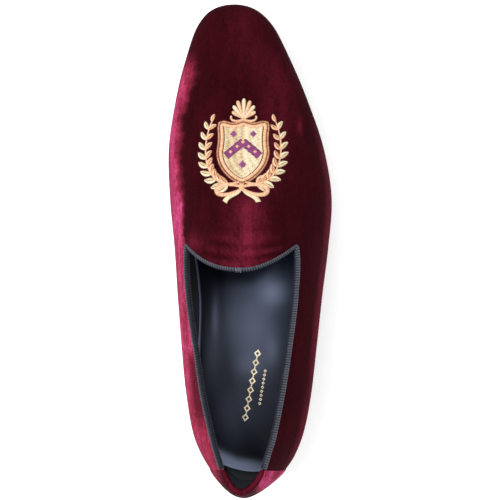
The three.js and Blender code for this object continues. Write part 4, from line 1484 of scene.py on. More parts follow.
@dataclass(frozen=True)
class EdgeBinding:
    """Ribbed tape folded over the collar and the throat, mitred at the throat's corners."""

    wall: float = 2.0
    tape: float = 0.5
    clearance: float = 0.06
    outside_leg: float = 1.7
    throat_leg: float = 1.1
    inside_leg: float = 2.2
    rib_pitch: float = 1.5
    rib_slant: float = 0.12
    rib_height: float = 0.24
    step: float = 0.26
    overrun: float = 8.0
    end_gap: float = 0.5
    blunt: float = 0.5
    fold_height: float = 0.8
    outer_lip: float = 0.3
    inner_lip: float = 0.25
    unevenness: float = 0.2
    least_light: float = 0.06

    def line(self, arm: Arm) -> tuple[Array, Array, Array]:
        """Finds the edge of one arm.

        Args:
            arm: which stretch.

        Returns:
            Points on the upper's outer edge, surface normals and tangents, a step apart.
        """
        fine = np.linspace(0, 1, 260)
        if arm is Arm.THROAT:
            half = {}
            for side in Side:
                share, rise = LAST.throat_edge(side, fine)
                half[side] = LAST.point(side, share, rise), LAST.normal(side, share, rise)
            outer, inner = half[Side.OUTER], half[Side.INNER]
            points, normals = (np.concatenate([outer[i][:0:-1], inner[i]]) for i in (0, 1))
        else:
            side = Side.OUTER if arm is Arm.OUTER_COLLAR else Side.INNER
            turn = between(turn_of(Ribs.strap_share), turn_of(LAST.corner_share), fine)
            share = share_of(turn)
            rise = LAST.collar_rise(side, share)
            points, normals = LAST.point(side, share, rise), LAST.normal(side, share, rise)
            if side is Side.INNER:
                points, normals = points[::-1], normals[::-1]
        lead, tail = arm is not Arm.OUTER_COLLAR, arm is not Arm.INNER_COLLAR
        points, normals = self.overrun_ends(points, normals, lead, tail)
        walked = walk(points)
        start = 0 if lead else self.end_gap
        stop = walked[-1] - (0 if tail else self.end_gap)
        at = np.linspace(start, stop, int((stop - start) / self.step))
        points, normals = pick(points, walked, at), unit(pick(normals, walked, at))
        kernel = np.ones(9) / 9
        padded = np.pad(points, ((4, 4), (0, 0)), mode="reflect", reflect_type="odd")
        smooth = np.stack([np.convolve(padded[:, i], kernel, "valid") for i in range(3)], -1)
        return points, normals, unit(np.gradient(smooth, axis=0))

    def overrun_ends(self, points: Array, normals: Array, lead: bool, tail: bool) -> tuple[Array, Array]:
        """Runs an arm on over the surface past the throat's corners, for the mitres to cut.

        Args:
            points: points of the arm.
            normals: normals at the points.
            lead: whether it runs on ahead of its first point.
            tail: whether it runs on past its last point.

        Returns:
            The longer arm's points and normals.
        """
        extra = np.linspace(0, self.overrun, 9)[1:, None]
        for wanted in (lead, tail):
            points, normals = points[::-1], normals[::-1]
            if wanted:
                ran = points[-1] + unit(points[-1] - points[-4]) * extra
                on, up = LAST.over(ran[:, 0], ran[:, 1])
                points, normals = np.concatenate([points, on]), np.concatenate([normals, up])
        return points, normals

    def section(self, arm: Arm) -> tuple[Array, Array, Array]:
        """Works out the folded section of the tape.

        Args:
            arm: which stretch.

        Returns:
            Outer line and inner line, as distances out of the wall's middle and up from the edge,
            and how much each point of them rises with a rib.
        """
        inner = self.wall / 2 + self.clearance
        outer = inner + self.tape
        turns = np.linspace(0, math.pi, 13)
        leg = self.throat_leg if arm is Arm.THROAT else self.outside_leg
        legs_out = np.linspace(-leg, 0, 8)[:-1]
        legs_in = np.linspace(0, -self.inside_leg, 6)[1:]

        def fold(radius: float) -> Array:
            """Draws one line of the fold.

            Args:
                radius: its distance from the wall's middle.

            Returns:
                Its points, from the outer selvedge to the inner one.
            """
            arc = np.stack([radius * np.cos(turns), self.fold_height * radius * np.sin(turns)], -1)
            up = np.stack([np.full(len(legs_out), radius), legs_out], -1)
            down = np.stack([np.full(len(legs_in), -radius), legs_in], -1)
            return np.concatenate([up, arc, down])

        front, back = fold(outer), fold(inner)
        front[0, 0] -= self.outer_lip
        front[-1, 0] += self.inner_lip
        ribbed = np.ones(len(front))
        ribbed[[0, -1]] = 0
        ribbed[[1, -2]] = 0.6
        return front, back, ribbed

    def arm_sheet(self, arm: Arm) -> Sheet:
        """Makes a closed, ribbed strip along one arm, before its mitres are cut.

        Args:
            arm: which stretch.

        Returns:
            The strip.
        """
        points, normals, tangents = self.line(arm)
        outward = unit(normals - tangents * np.sum(normals * tangents, -1, keepdims=True))
        up = np.cross(outward, tangents)
        middle = points - normals * self.wall / 2
        front, back, ribbed = self.section(arm)
        walked = np.arange(len(points)) * self.step
        over = walk(front)
        uneven = walked + self.unevenness * np.sin(walked * 0.21)
        beat = (uneven[:, None] + self.rib_slant * over[None]) / self.rib_pitch
        crown = np.abs(np.sin(math.pi * beat)) ** 0.7
        spread = unit(np.where(front[:, 1:2] > 0, front, front * [1, 0]))
        lift = self.rib_height * (crown - 0.5) * ribbed[None]
        outer = front[None] + spread[None] * lift[..., None]

        def place(line: Array) -> Array:
            """Carries section points to every station."""
            return middle[:, None] + outward[:, None] * line[..., :1] + up[:, None] * line[..., 1:]

        # Painted highlights on the rib crowns, and two painted highlight lines along the selvedge and the
        # inner roll.
        part, light = over / over[-1], TAPE_LIGHT[arm]
        selvedge = light.selvedge * np.exp(-((part / 0.1) ** 2))
        roll = light.roll * np.exp(-(((part - 0.62) / 0.05) ** 2))
        lit = light.ribs * (1 - soft(part, light.reach - 0.12, light.reach + 0.12))
        ticks = self.least_light + lit + 0.3 * roll
        shade = crown**2 * ticks[None] + (0.3 * selvedge + 0.35 * roll)[None]
        sheet = Sheet()
        sheet.shell(place(outer), place(np.broadcast_to(back[None], outer.shape)), crown=shade)
        return sheet

    def corner_planes(self, side: Side) -> tuple[tuple[Vector, Vector], tuple[Vector, Vector]]:
        """Finds the planes that shape the tape at a corner of the throat.

        Args:
            side: side of the foot.

        Returns:
            Point and normal of the mitre, whose normal points along the edge from the outer side to
            the inner side, and of the plane that blunts its tip.
        """
        first = self.line(Arm.OUTER_COLLAR if side is Side.OUTER else Arm.THROAT)
        second = self.line(Arm.THROAT if side is Side.OUTER else Arm.INNER_COLLAR)
        skip = int(self.overrun / self.step)
        place = first[0][-skip - 1]
        before, after = first[2][-skip - 8], second[2][skip + 8]
        tip = unit(before - after)
        blunt = Vector((place + tip * self.blunt) * MM)
        return (Vector(place * MM), Vector(unit(before + after))), (blunt, Vector(tip))

    def build(self) -> None:
        """Makes the three arms, cuts their mitres and joins them."""
        planes = {side: self.corner_planes(side) for side in Side}
        kept_ahead = {
            Arm.OUTER_COLLAR: [(Side.OUTER, -1)],
            Arm.THROAT: [(Side.OUTER, 1), (Side.INNER, -1)],
            Arm.INNER_COLLAR: [(Side.INNER, 1)],
        }
        whole = bmesh.new()
        for arm, ends in kept_ahead.items():
            mesh = self.arm_sheet(arm).mesh("arm")
            with edited(mesh) as strip:
                for side, ahead in ends:
                    (mitre, way), (blunt, tip) = planes[side]
                    slice_off(strip, mitre, way * ahead)
                    slice_off(strip, blunt, -tip)
            whole.from_mesh(mesh)
            bpy.data.meshes.remove(mesh)
        mesh = bpy.data.meshes.new("edge_binding")
        whole.to_mesh(mesh)
        whole.free()
        Piece("edge_binding", GROSGRAIN, "grosgrain", ("topline_binding",), 60).dress(mesh)
        self.tack()

    def tack(self) -> None:
        """Makes a tuft of short stitches in the throat's middle."""
        points, normals, tangents = (part[len(part) // 2] for part in self.line(Arm.THROAT))
        back = np.cross(tangents, normals)
        back = back * -np.sign(back[1])
        rows = []
        for number, lean in enumerate((0.5, -0.7, 0.2, 0.9, -0.3)):
            foot = points + tangents * (number - 2) * 0.75 + normals * 0.75
            t = np.linspace(-1.1, 1.7, 6)[:, None]
            rows.append(foot + back * t + tangents * lean * t / 2 - normals * 0.35 * np.maximum(t, 0) ** 2)
        stands = np.broadcast_to(normals, (len(rows), 6, 3))
        swell = np.array([0.5, 0.9, 1.0, 1.0, 0.8, 0.4])
        Piece("throat_tack", SLATE_THREAD, "grosgrain").build(strips(np.array(rows), stands, 0.26, swell))


# ---- Back strap ----


@dataclass(frozen=True)
class BackStrap:
    """Velvet strap over the back seam, folded over the collar and down the inside."""

    wall: float = 2.0
    clearance: float = 0.08
    thickness: float = 0.9
    foot_rise: float = 0.012
    inside_rise: float = 0.1
    side_gap: float = 0.004
    side_thinning: float = 0.75
    fold_height: float = 0.8
    # Levels of painted sheen on the strap: outer and inner side, fold, inside, and the least anywhere.
    outer_sheen: float = 0.95
    inner_sheen: float = 0.5
    fold_sheen: float = 0.16
    inside_sheen: float = 0.12
    least_sheen: float = 0.02
    half_rows: int = 36
    outside_steps: int = 90
    fold_steps: int = 8
    inside_steps: int = 22

    def column(self, side: Side, share: Array, edge: Array) -> tuple[Array, Array]:
        """Finds the strap's front and back at some shares.

        Args:
            side: side of the foot.
            share: shares of the length.
            edge: 0 in the strap's middle, 1 at its side edge.

        Returns:
            Two grids, a row for each share, running up the outside and down the inside.
        """
        top = LAST.collar_rise(side, share)[:, None]
        up = between(self.foot_rise, top, np.linspace(0, 1, self.outside_steps)[None])
        down = top - self.inside_rise * np.linspace(0, 1, self.inside_steps)[None]
        share = share[:, None]
        far = self.clearance + self.thickness * (1 - self.side_thinning * edge[:, None] ** 14)
        outside = [LAST.wall(side, share, up, out) for out in (self.clearance, far)]
        inside = [LAST.wall(side, share, down, -self.wall - out) for out in (self.clearance, far)]
        rim = LAST.point(side, share, top)
        way = unit(rim - LAST.point(side, share, top - 0.02))
        turn = np.linspace(0, math.pi, self.fold_steps + 2)[None, 1:-1, None]
        sheets = []
        for out, inn in ((outside[1], inside[1]), (outside[0], inside[0])):
            middle, half = (out[:, -1:] + inn[:, :1]) / 2, (out[:, -1:] - inn[:, :1]) / 2
            depth = np.linalg.norm(half, axis=-1, keepdims=True) * self.fold_height
            fold = middle + half * np.cos(turn) + way * depth * np.sin(turn)
            sheets.append(np.concatenate([out, fold, inn], 1))
        return sheets[0], sheets[1]

    def nap(self, points: Array) -> Array:
        """Works out the strap's painted sheen: on the outer side, the fold and the inside.

        Args:
            points: points of the strap, running up the outside and down the inside.

        Returns:
            Amount of painted sheen at each point.
        """
        x, z = points[..., 0], points[..., 2]
        column = np.arange(points.shape[1])[None]
        outside = column < self.outside_steps
        inside = column >= self.outside_steps + self.fold_steps
        # Painted sheen on both sides of the outside, a painted highlight along the fold, and a little on the
        # inside.
        lateral = self.outer_sheen * soft(x, 4, 10) * soft(z, 26, 45) * outside
        medial = self.inner_sheen * soft(-x, 12, 20) * soft(z, 26, 45) * outside
        crest = self.fold_sheen * np.exp(-(((column - self.outside_steps - 3) / 2) ** 2))
        return np.clip(self.least_sheen + lateral + medial + crest + self.inside_sheen * inside, 0, 1)

    def build(self) -> None:
        """Makes the strap."""
        end = turn_of(Ribs.strap_share) - self.side_gap
        edge = np.linspace(0, 1, self.half_rows)
        fronts, backs = [], []
        for side in (Side.INNER, Side.OUTER):
            front, back = self.column(side, share_of(end * edge), edge)
            kept = slice(None, 0, -1) if side is Side.INNER else slice(None)
            fronts.append(front[kept])
            backs.append(back[kept])
        front = np.concatenate(fronts)
        sheet = Sheet()
        sheet.shell(front, np.concatenate(backs), nap=self.nap(front))
        Piece("velvet_back_strap", VELVET, "velvet", ("back_strap",)).build(sheet)


# ---- Insole ----


SOCK_HIGHLIGHTS = table(  # painted highlights on the sock, where light falls on it
    "x y half_x half_y level",
    [(-1, -46, 16, 30, 0.2), (-14, -45, 7, 20, 0.07), (13, -27, 8, 8, 0.24), (-22, -42, 1.9, 12, 0.28),
     (-23, -64, 5, 20, 0.1), (13, -62, 4, 9, 0.08), (-2, -71, 9, 7, 0.09), (-11, -101, 11, 18, 0.12)],
)


@dataclass(frozen=True)
class Sock:
    """Leather sock over the insole board: its edges turn up along the walls."""

    wall: float = 2.0
    rows: int = 240
    across: int = 56
    edge_rise: float = 5.4
    bed_rise: float = 3.3
    roll: float = 8.5
    thickness: float = 1.3
    wall_gap: float = 0.35
    rear_rise: float = 5.0
    rear_bow: float = 4.0
    crowding: float = 0.09
    cup_rise: float = 0.9
    # Levels of painted light: on the rear curl, along the turned-up edges, and on the insole board in the
    # heel's shade.
    rear_highlight: float = 0.85
    edge_highlight: float = 0.6
    board_painted_light: float = 0.9
    board_rise: float = 2.2
    board_thickness: float = 1.6
    board_gap: float = 0.4
    foil_heights: Point = (0.02, 0.07)
    back_share: float = 0.038
    rear_skew: float = 0.021

    def behind(self, x: Array, y: Array) -> Array:
        """How far behind the line where the sock turns up a place lies; the line runs aslant."""
        return -y - 126.0 - 0.16 * (x + 8) + 0.3 * np.maximum(-x - 8, 0)

    def bed(self, x: Array, y: Array) -> Array:
        """Works out the flat part of the sock.

        Args:
            x: distances across.
            y: distances along.

        Returns:
            Height of its face at each place.
        """
        share = (y - LAST.back_y) / LAST.length
        heel = self.rear_rise * soft(self.behind(x, y), -2, 9)
        wave = 0.16 * np.sin(y * 0.11 + x * 0.07) + 0.12 * np.sin(y * 0.047 - x * 0.13)
        cup = self.cup_rise * (1 - np.exp(-(((x + 1) / 20) ** 2))) * soft(-y, 60, 100)
        return LAST.seat_z(share) + self.bed_rise + heel + wave + cup

    def painted_light(self, x: Array, y: Array) -> Array:
        """Works out painted light on the sock: highlights in patches, less in the vamp's shadow, and light on
        the rear curl.

        Args:
            x: distances across.
            y: distances along.

        Returns:
            Amount of painted light at each place.
        """
        open_to_light = 1 - soft(y + 22 - 10 * soft(x, -2, 16), -4, 5)
        # Painted light on the rear curl, less towards the outer side.
        rear = soft(self.behind(x, y), -1, 5) * (1 - 0.35 * soft(x, -2, 10))
        return patches(SOCK_HIGHLIGHTS, x, y) * open_to_light + self.rear_highlight * rear

    def build(self) -> None:
        """Makes the sock as one closed sheet, and the insole board that shows behind it."""
        turns = np.linspace(turn_of(self.back_share), math.pi, self.rows)
        share = share_of(turns)
        ends = {}
        for side in Side:
            skew = self.rear_skew if side is Side.INNER else 0.0
            place = share + skew * (1 - soft(share, self.back_share, self.back_share + 0.08))
            seat = LAST.point(side, place, 0)[:, 2]

            def under_edge(rise: Array, side: Side = side, place: Array = place, seat: Array = seat) -> Array:
                """Whether the wall's inside lies under the sock's edge at each rise."""
                return LAST.wall(side, place, rise, -self.wall)[:, 2] < seat + self.edge_rise

            rise = LAST.rise_where(under_edge, len(share), 0.0, LAST.bulge_rise)
            ends[side] = LAST.wall(side, place, rise, -self.wall - self.wall_gap)
        t = np.linspace(0, 1, self.across)
        t = t - self.crowding * np.sin(2 * math.pi * t)
        outer, inner = ends[Side.OUTER][:, None], ends[Side.INNER][:, None]
        top = between(outer, inner, t[None, :, None])
        width = np.linalg.norm(inner - outer, axis=-1)
        from_edge = np.minimum(t, 1 - t)[None] * width
        dish = np.clip(1 - from_edge / self.roll, 0, 1) ** 2.2
        bow = self.rear_bow * (1 - (2 * t[None] - 1) ** 2) * (1 - soft(share, 0.06, 0.1))[:, None]
        top[..., 1] -= bow
        top[..., 2] = self.bed(top[..., 0], top[..., 1]) + (self.edge_rise - self.bed_rise + 0.9) * dish
        under = top.copy()
        under[..., 2] -= self.thickness
        # Painted highlights: a thin line along the rear edge and one along each turned-up edge.
        rear = np.exp(-(((share[:, None] - self.back_share) / 0.003) ** 2))
        edge = self.edge_highlight * np.clip(1.4 - from_edge / 0.9, 0, 1) * soft(share, 0.1, 0.2)[:, None] + rear
        tone = np.clip(self.painted_light(top[..., 0], top[..., 1]) + edge, 0, 1)
        sheet = Sheet()
        sheet.shell(top[:, ::-1], under[:, ::-1], tone=tone[:, ::-1])
        Piece("leather_sock", SOCK, "sock_leather", ("insole",)).build(sheet)
        self.board()
        self.stamp()

    def board(self) -> None:
        """Covered end of the insole board, between the sock and the back wall."""
        share = share_of(np.linspace(0.02, turn_of(self.back_share + 0.03), 16))
        ends = [LAST.wall(side, share, 0.05, -self.wall - self.board_gap) for side in Side]
        top = between(ends[0][:, None], ends[1][:, None], np.linspace(0, 1, 13)[None, :, None])
        top[..., 2] = LAST.seat_z(share)[:, None] + self.board_rise
        under = top - np.array([0, 0, self.board_thickness])
        sheet = Sheet()
        # The board gets painted light, which lifts the shade at the heel.
        sheet.shell(top[:, ::-1], under[:, ::-1], tone=self.board_painted_light)
        Piece("insole_board", LINING, "sock_leather").build(sheet)

    def stamp(self) -> None:
        """Makes a small foil ornament on the heel: two rules of lozenges and dots."""
        sheet = Sheet()
        rules = (
            (Vector((-3.6, -105.5)), Vector((4.6, -61.5)), 8, 2.5, 2.1),
            (Vector((5.4, -95.5)), Vector((9.0, -73.5)), 9, 1.0, 0.95),
        )
        for start, end, count, length, breadth in rules:
            way = (end - start).normalized()
            side = Vector((way.y, -way.x))
            for number in range(count):
                middle = start.lerp(end, (number + 0.5) / count)
                self.foil(sheet, middle, way * length, side * breadth, 0.5)
                if length > 1 and number:
                    self.foil(sheet, start.lerp(end, number / count), way * 0.55, side * 0.55, 0.0)
        Piece("foil_stamp", FOIL, "").build(sheet, weld=0)

    def foil(self, sheet: Sheet, middle: Vector, way: Vector, side: Vector, hollow: float) -> None:
        """Adds one thin lozenge.

        Args:
            sheet: sheet that it is added to.
            middle: its middle in plan.
            way: from its middle to one tip.
            side: from its middle to the next tip.
            hollow: share of its inside that is left open.
        """
        corners = [way, side, -way, -side]
        outer = np.array([middle + corner for corner in corners])
        inner = np.array([middle + corner * max(hollow, 0.02) for corner in corners])
        rings, (low, high) = [], self.foil_heights
        for ring, up in ((inner, low), (inner, high), (outer, high), (outer, low)):
            z = self.bed(ring[:, 0], ring[:, 1]) + up
            rings.append(np.concatenate([ring, z[:, None]], 1))
        sheet.grid(np.stack(rings, 1), loop=True, tube=True)


# ---- Sole ----


@dataclass(frozen=True)
class Outsole:
    """Leather outsole with a rounded edge and a stitched channel."""

    margin: float = 1.0
    channel_inset: float = 4.4
    rows: int = 260
    across: int = 26
    stitch_pitch: float = 4.2
    stitch_length: float = 3.36
    stitch_radius: float = 0.42
    stitch_up: float = 0.32
    stitch_from: float = 0.33

    def profile(self) -> np.recarray:
        """Lists the points of the edge's section.

        Returns:
            How far in from the full outline, and how far over the underside, each point lies.
        """
        c = self.channel_inset
        return table(
            "inset up",
            [(9.0, 4.2), (0.7, 4.2), (0.25, 3.9), (0.0, 3.2), (0.0, 1.9), (0.15, 1.1), (0.6, 0.45),
             (1.4, 0.1), (2.4, 0.0), (c - 0.75, 0.0), (c - 0.45, 0.12), (c - 0.15, 0.5), (c + 0.15, 0.5),
             (c + 0.45, 0.12), (c + 0.75, 0.0), (8.0, 0.0), (9.0, 0.0)],
        )

    def ring(self, side: Side, share: Array, inset: float, up: float) -> Array:
        """Finds one line round the edge.

        Args:
            side: side of the foot.
            share: shares of the length.
            inset: how far in from the full outline it runs.
            up: how far over the underside it runs.

        Returns:
            Points of the line.
        """
        found = LAST.seat_edge(side, share, self.margin - inset)
        found[:, 2] = LAST.sole_under(found[:, 1]) + up
        return found

    def build(self) -> None:
        """Makes the sole and its stitches."""
        share = share_of(np.linspace(0, math.pi, self.rows))
        share[0], share[-1] = 0, 1
        rings = {side: [self.ring(side, share, *row) for row in self.profile()] for side in Side}
        pairs = list(zip(rings[Side.OUTER], rings[Side.INNER]))
        sheet = Sheet()
        loops = [np.concatenate([outer, inner[-2:0:-1]]) for outer, inner in pairs]
        sheet.grid(np.stack(loops, 1)[:, ::-1], loop=True)
        t = np.linspace(0, 1, self.across)[None, :, None]
        for (outer, inner), lift, turned in ((pairs[-1], 0.0, 1), (pairs[0], LAST.sole_thickness, -1)):
            face = between(outer[:, None], inner[:, None], t)
            face[..., 2] = LAST.sole_under(face[..., 1]) + lift
            sheet.grid(face[:, ::turned])
        Piece("leather_outsole", SOLE_LEATHER, "sole_leather", ("outsole",)).build(sheet, weld=0.01)
        self.stitches()

    def stitches(self) -> None:
        """Lays lockstitches end to end in the channel."""
        fine = share_of(np.linspace(turn_of(self.stitch_from), math.pi, 900))
        laid = {side: self.ring(side, fine, self.channel_inset, self.stitch_up) for side in Side}
        line = np.concatenate([laid[Side.OUTER], laid[Side.INNER][::-1]])
        walked = walk(line)
        starts = np.arange(0.5 * self.stitch_pitch, walked[-1] - self.stitch_pitch, self.stitch_pitch)
        t = np.linspace(0, 1, 7)
        arch = np.sin(math.pi * t) ** 0.6
        points = pick(line, walked, starts[:, None] + self.stitch_length * t[None])
        points[..., 2] -= 0.35 * self.stitch_radius * (arch - 1)
        down = np.broadcast_to(np.array([0.0, 0.0, -1.0]), points.shape)
        sheet = strips(points, down, self.stitch_radius, arch)
        Piece("sole_stitches", DARK_THREAD, "sole_leather").build(sheet)


def strips(
    points: Array,
    stands: Array,
    radius: float,
    swell: Array,
    sides: int = 6,
    flat: float = 0.6,
    tones: float | Array = 0.5,
) -> Sheet:
    """Makes rounded threads through rows of points.

    Args:
        points: threads by places by three.
        stands: the way out of the surface at each place.
        radius: half width of each thread.
        swell: share of the width at each place.
        sides: sides of a thread's section.
        flat: height of the section over its width.
        tones: how pale each thread is, before a little chance.

    Returns:
        A sheet of closed tubes, with a paleness from 0 to 1 at each place: the thread's own, times a painted
        highlight in its middle that fades to painted shade at its ends.
    """
    count, places = points.shape[:2]
    ways = unit(np.gradient(points, axis=1))
    across = unit(np.cross(ways, stands))
    rise = np.cross(across, ways)
    turns = np.linspace(0, 2 * math.pi, sides, endpoint=False)
    size = radius * np.clip(swell, 0.25, 1)[None]
    ring = (
        points[:, :, None]
        + across[:, :, None] * (size[..., None] * np.cos(turns))[..., None]
        + rise[:, :, None] * (flat * size[..., None] * np.sin(turns))[..., None]
    )
    chance = np.random.default_rng(7).random(count)
    # Painted highlight in each thread's middle, painted shade towards its ends.
    shades = np.clip(tones + 0.5 * (chance - 0.5), 0, 1)[:, None] * np.clip(swell, 0.25, 1)[None] ** 3
    starts = np.arange(count)[:, None, None] * (places * sides)
    walls = grid_faces(places, sides, False, True)[None, :, ::-1] + starts
    caps = np.stack([np.arange(sides), places * sides - 1 - np.arange(sides)])[None] + starts
    sheet = Sheet()
    sheet.add(ring, walls.reshape(-1, 4), tone=shades[..., None])
    sheet.faces.extend(map(tuple, caps.reshape(-1, sides).tolist()))
    return sheet


# ---- Heel ----


@dataclass(frozen=True)
class Heel:
    """Stacked leather heel with a slanted rubber corner and copper nails."""

    margin: float = 1.0
    taper: float = 1.2
    pitch: float = 2.6
    straight_share: float = 0.2
    breast_radius: float = 90.0
    breast_x: float = 9.3
    breast_y: float = 20.4
    top_lift: float = 6.0
    lifts: int = 3
    lift_gap: float = 0.05
    groove: float = 0.25
    floor_gap: float = 0.12
    joint_outer: Point = (31.0, -101.0)
    joint_inner: Point = (-31.0, -115.5)
    joint_gap: float = 0.12
    nail_radius: float = 1.3
    nails: tuple[Point, ...] = ((25, -76), (24, -93), (-17, -72), (-20.5, -88), (-23.5, -104))

    def side_line(self, side: Side, level: Curve, inset: float) -> Array:
        """Finds one side of the heel at one level.

        Args:
            side: side of the foot.
            level: height over each Y.
            inset: how far in the line runs.

        Returns:
            Points from the back to the corner of the breast.
        """
        share = share_of(turn_of(self.straight_share) * np.linspace(0, 1, 40))
        full = LAST.seat_edge(side, share, self.margin)
        out = full - LAST.seat_edge(side, share, 0)
        taper = between(self.taper, self.pitch, np.abs(out[:, 1]))
        lean = inset + (1 - level(full[:, 1]) / LAST.heel_height) * taper
        round_part = full - out * lean[:, None]
        corner = -60.0  # a first guess at the corner's Y
        for _ in range(4):
            corner_lean = inset + (1 - level(np.float64(corner)) / LAST.heel_height) * self.taper
            corner_x = full[-1, 0] - out[-1, 0] * corner_lean
            corner = self.breast(corner_x, inset)
        t = np.linspace(0, 1, 16)[1:, None]
        return np.concatenate([round_part, between(round_part[-1], np.array([corner_x, corner, 0.0]), t)])

    def breast(self, x: float | Array, inset: float) -> float | Array:
        """Y of the heel's hollow front."""
        return self.breast_y - np.sqrt((self.breast_radius + inset) ** 2 - (x - self.breast_x) ** 2)

    def ring(self, level: Curve, inset: float) -> Array:
        """Draws a closed line round the heel at one level.

        Args:
            level: height over each Y.
            inset: how far in the line runs.

        Returns:
            Its points.
        """
        outer, inner = (self.side_line(side, level, inset) for side in (Side.OUTER, Side.INNER))
        x = np.linspace(outer[-1, 0], inner[-1, 0], 34)[1:-1]
        front = np.stack([x, self.breast(x, inset), 0 * x], -1)
        found = np.concatenate([outer, front, inner[:0:-1]])
        found[:, 2] = level(found[:, 1])
        return found

    def block(self, levels: Sequence[tuple[Curve, float]]) -> Sheet:
        """Makes a closed block through rings.

        Args:
            levels: level and inset of each ring, lowest first.

        Returns:
            The block.
        """
        rings = np.stack([self.ring(*level) for level in levels])
        sheet = Sheet()
        count, places = rings.shape[:2]
        sheet.grid(rings.transpose(1, 0, 2), loop=True)
        feet = range(0, places * count, count)
        sheet.faces += [tuple(feet)[::-1], tuple(foot + count - 1 for foot in feet)]
        return sheet

    def build_stack(self) -> None:
        """Makes the lifts between the sole and the top lift, with a fine groove at each joint."""
        low, gap = self.top_lift + self.lift_gap, self.lift_gap
        levels: list[tuple[Curve, float]] = []
        for k in range(self.lifts):
            for part, inset in ((0.0, self.groove), (0.06, 0.0), (0.5, 0.0), (0.94, 0.0)):
                share = (k + part) / self.lifts
                levels.append((lambda y, s=share: between(low, LAST.sole_under(y) - gap, s), inset))
        levels.append((lambda y: LAST.sole_under(y) - gap, 0.2))
        Piece("stacked_heel", EDGE_LEATHER, "sole_leather", ("heel_stack",), 30).build(self.block(levels))

    def build_top_lift(self) -> None:
        """Makes the top lift and parts it at the slanted joint."""
        base, top = self.floor_gap, self.top_lift
        rounded = ((base, 1.1), (base + 0.12, 0.55), (base + 0.5, 0.15), (base + 1.1, 0.0))
        heights = (*rounded, (top - 0.2, 0.0), (top, 0.15))
        sheet = self.block([(lambda y, z=z: z + 0 * y, inset) for z, inset in heights])
        outer, inner = (Vector((*joint, 0.0)) for joint in (self.joint_outer, self.joint_inner))
        along = (outer - inner).normalized()
        behind = Vector((along.y, -along.x, 0.0))
        parts = (
            ("leather_top_lift", SOLE_LEATHER, "sole_leather", "top_lift_leather", -1),
            ("rubber_top_lift", RUBBER, "heel_rubber", "top_lift_rubber", 1),
        )
        for name, finish, slot, node, way in parts:
            mesh = sheet.mesh(name)
            with edited(mesh) as half:
                slice_off(half, (outer + behind * way * self.joint_gap) * MM, behind * way)
                bmesh.ops.recalc_face_normals(half, faces=half.faces)
            Piece(name, finish, slot, (node,), 35).dress(mesh)

    def build_nails(self) -> None:
        """Makes the nails, each with a softly domed head."""
        turns = np.linspace(0, 2 * math.pi, 28, endpoint=False)
        r = self.nail_radius
        section = ((0.0, 0.03), (0.5 * r, 0.035), (0.85 * r, 0.06), (r, 0.16), (r, 3.1), (0.0, 3.1))
        for number, (x, y) in enumerate(self.nails, 1):
            rows = [
                np.stack([x + radius * np.cos(turns), y + radius * np.sin(turns), z + 0 * turns], -1)
                for radius, z in section
            ]
            sheet = Sheet()
            sheet.grid(np.stack(rows, 1), loop=True)
            piece = Piece(f"copper_nail_{number}", COPPER, "copper", (f"heel_nail_{number}",), 30)
            piece.build(sheet, weld=0.01)

    def build(self) -> None:
        """Makes the whole heel."""
        self.build_stack()
        self.build_top_lift()
        self.build_nails()


# ---- Studio ----


@dataclass(frozen=True)
class SoftLight:
    """An area light aimed at the shoe."""

    name: str
    place: Triple
    size: float
    power: float
    colour: Colour = (1.0, 1.0, 1.0)

    def build(self, target: Vector) -> None:
        """Adds the light.

        Args:
            target: what it is aimed at, in metres.
        """
        data = bpy.data.lights.new(self.name, "AREA")
        data.size, data.energy, data.color = self.size, self.power, self.colour
        lamp = bpy.data.objects.new(self.name, data)
        lamp.location = self.place
        lamp.rotation_euler = (target - lamp.location).to_track_quat("-Z", "Y").to_euler()
        bpy.context.scene.collection.objects.link(lamp)


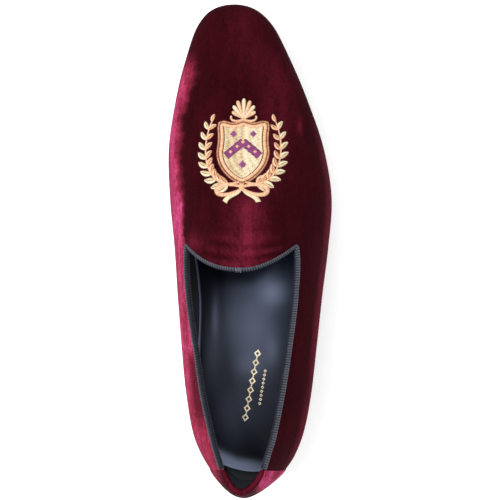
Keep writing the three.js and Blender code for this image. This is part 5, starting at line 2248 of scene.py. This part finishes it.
@dataclass(frozen=True)
class Studio:
    """Plain pale floor, soft lights, and a camera high above; its sizes are in metres."""

    target: Triple = (0.0, -0.0014, 0.03)
    height: float = 1.15
    tilt: float = 3.5
    lens: float = 134.0
    sensor: float = 36.0
    lights: tuple[SoftLight, ...] = (
        SoftLight("key", (-0.8, -0.12, 1.35), 0.7, 22.0),
        SoftLight("top", (0.25, 0.6, 1.5), 1.2, 5.0),
        SoftLight("fill", (1.1, -0.5, 0.7), 1.0, 2.0),
    )
    sky: float = 0.72
    floor_reach: float = 4.0
    floor_z: float = -0.05 * MM
    floor_corners: tuple[tuple[int, int], ...] = ((-1, -1), (1, -1), (1, 1), (-1, 1))

    def build(self) -> None:
        """Adds the floor, lights, sky and camera."""
        scene = bpy.context.scene
        target = Vector(self.target)
        for light in self.lights:
            light.build(target)
        self.build_floor()
        world = scene.world or bpy.data.worlds.new("studio")
        scene.world = world
        world.use_nodes = True
        wires = Wiring(world.node_tree)
        seen = wires.node("ShaderNodeLightPath").outputs["Is Camera Ray"]
        sky = world.node_tree.nodes["Background"]
        wires.tree.links.new(wires.span(seen, 0, 1, self.sky, 1.0), sky.inputs["Strength"])
        sky.inputs["Color"].default_value = (1, 1, 1, 1)
        data = bpy.data.cameras.new("camera")
        data.lens, data.sensor_width = self.lens, self.sensor
        camera = bpy.data.objects.new("camera", data)
        angle = math.radians(self.tilt)
        way = Vector((math.sin(angle), 0.0, math.cos(angle)))
        camera.location = target + way * ((self.height - target.z) / way.z)
        camera.rotation_euler = (0.0, angle, 0.0)
        scene.collection.objects.link(camera)
        scene.camera = camera
        scene.view_settings.view_transform = "Standard"

    def build_floor(self) -> None:
        """Adds a plain white floor."""
        mesh = bpy.data.meshes.new("floor")
        corners = [(x * self.floor_reach, y * self.floor_reach, self.floor_z) for x, y in self.floor_corners]
        mesh.from_pydata(corners, [], [(0, 1, 2, 3)])
        floor = bpy.data.objects.new("floor", mesh)
        bpy.context.scene.collection.objects.link(floor)
        mesh.materials.append(FLOOR.material())


def main() -> None:
    """Builds the shoe and its studio in order."""
    logging.basicConfig(level=logging.INFO, format="%(name)s: %(message)s")
    for part in (VelvetUpper(), Crest(), EdgeBinding(), BackStrap(), Sock(), Outsole(), Heel(), Studio()):
        part.build()
        log.info("built %s", type(part).__name__)


if __name__ == "__main__":
    main()
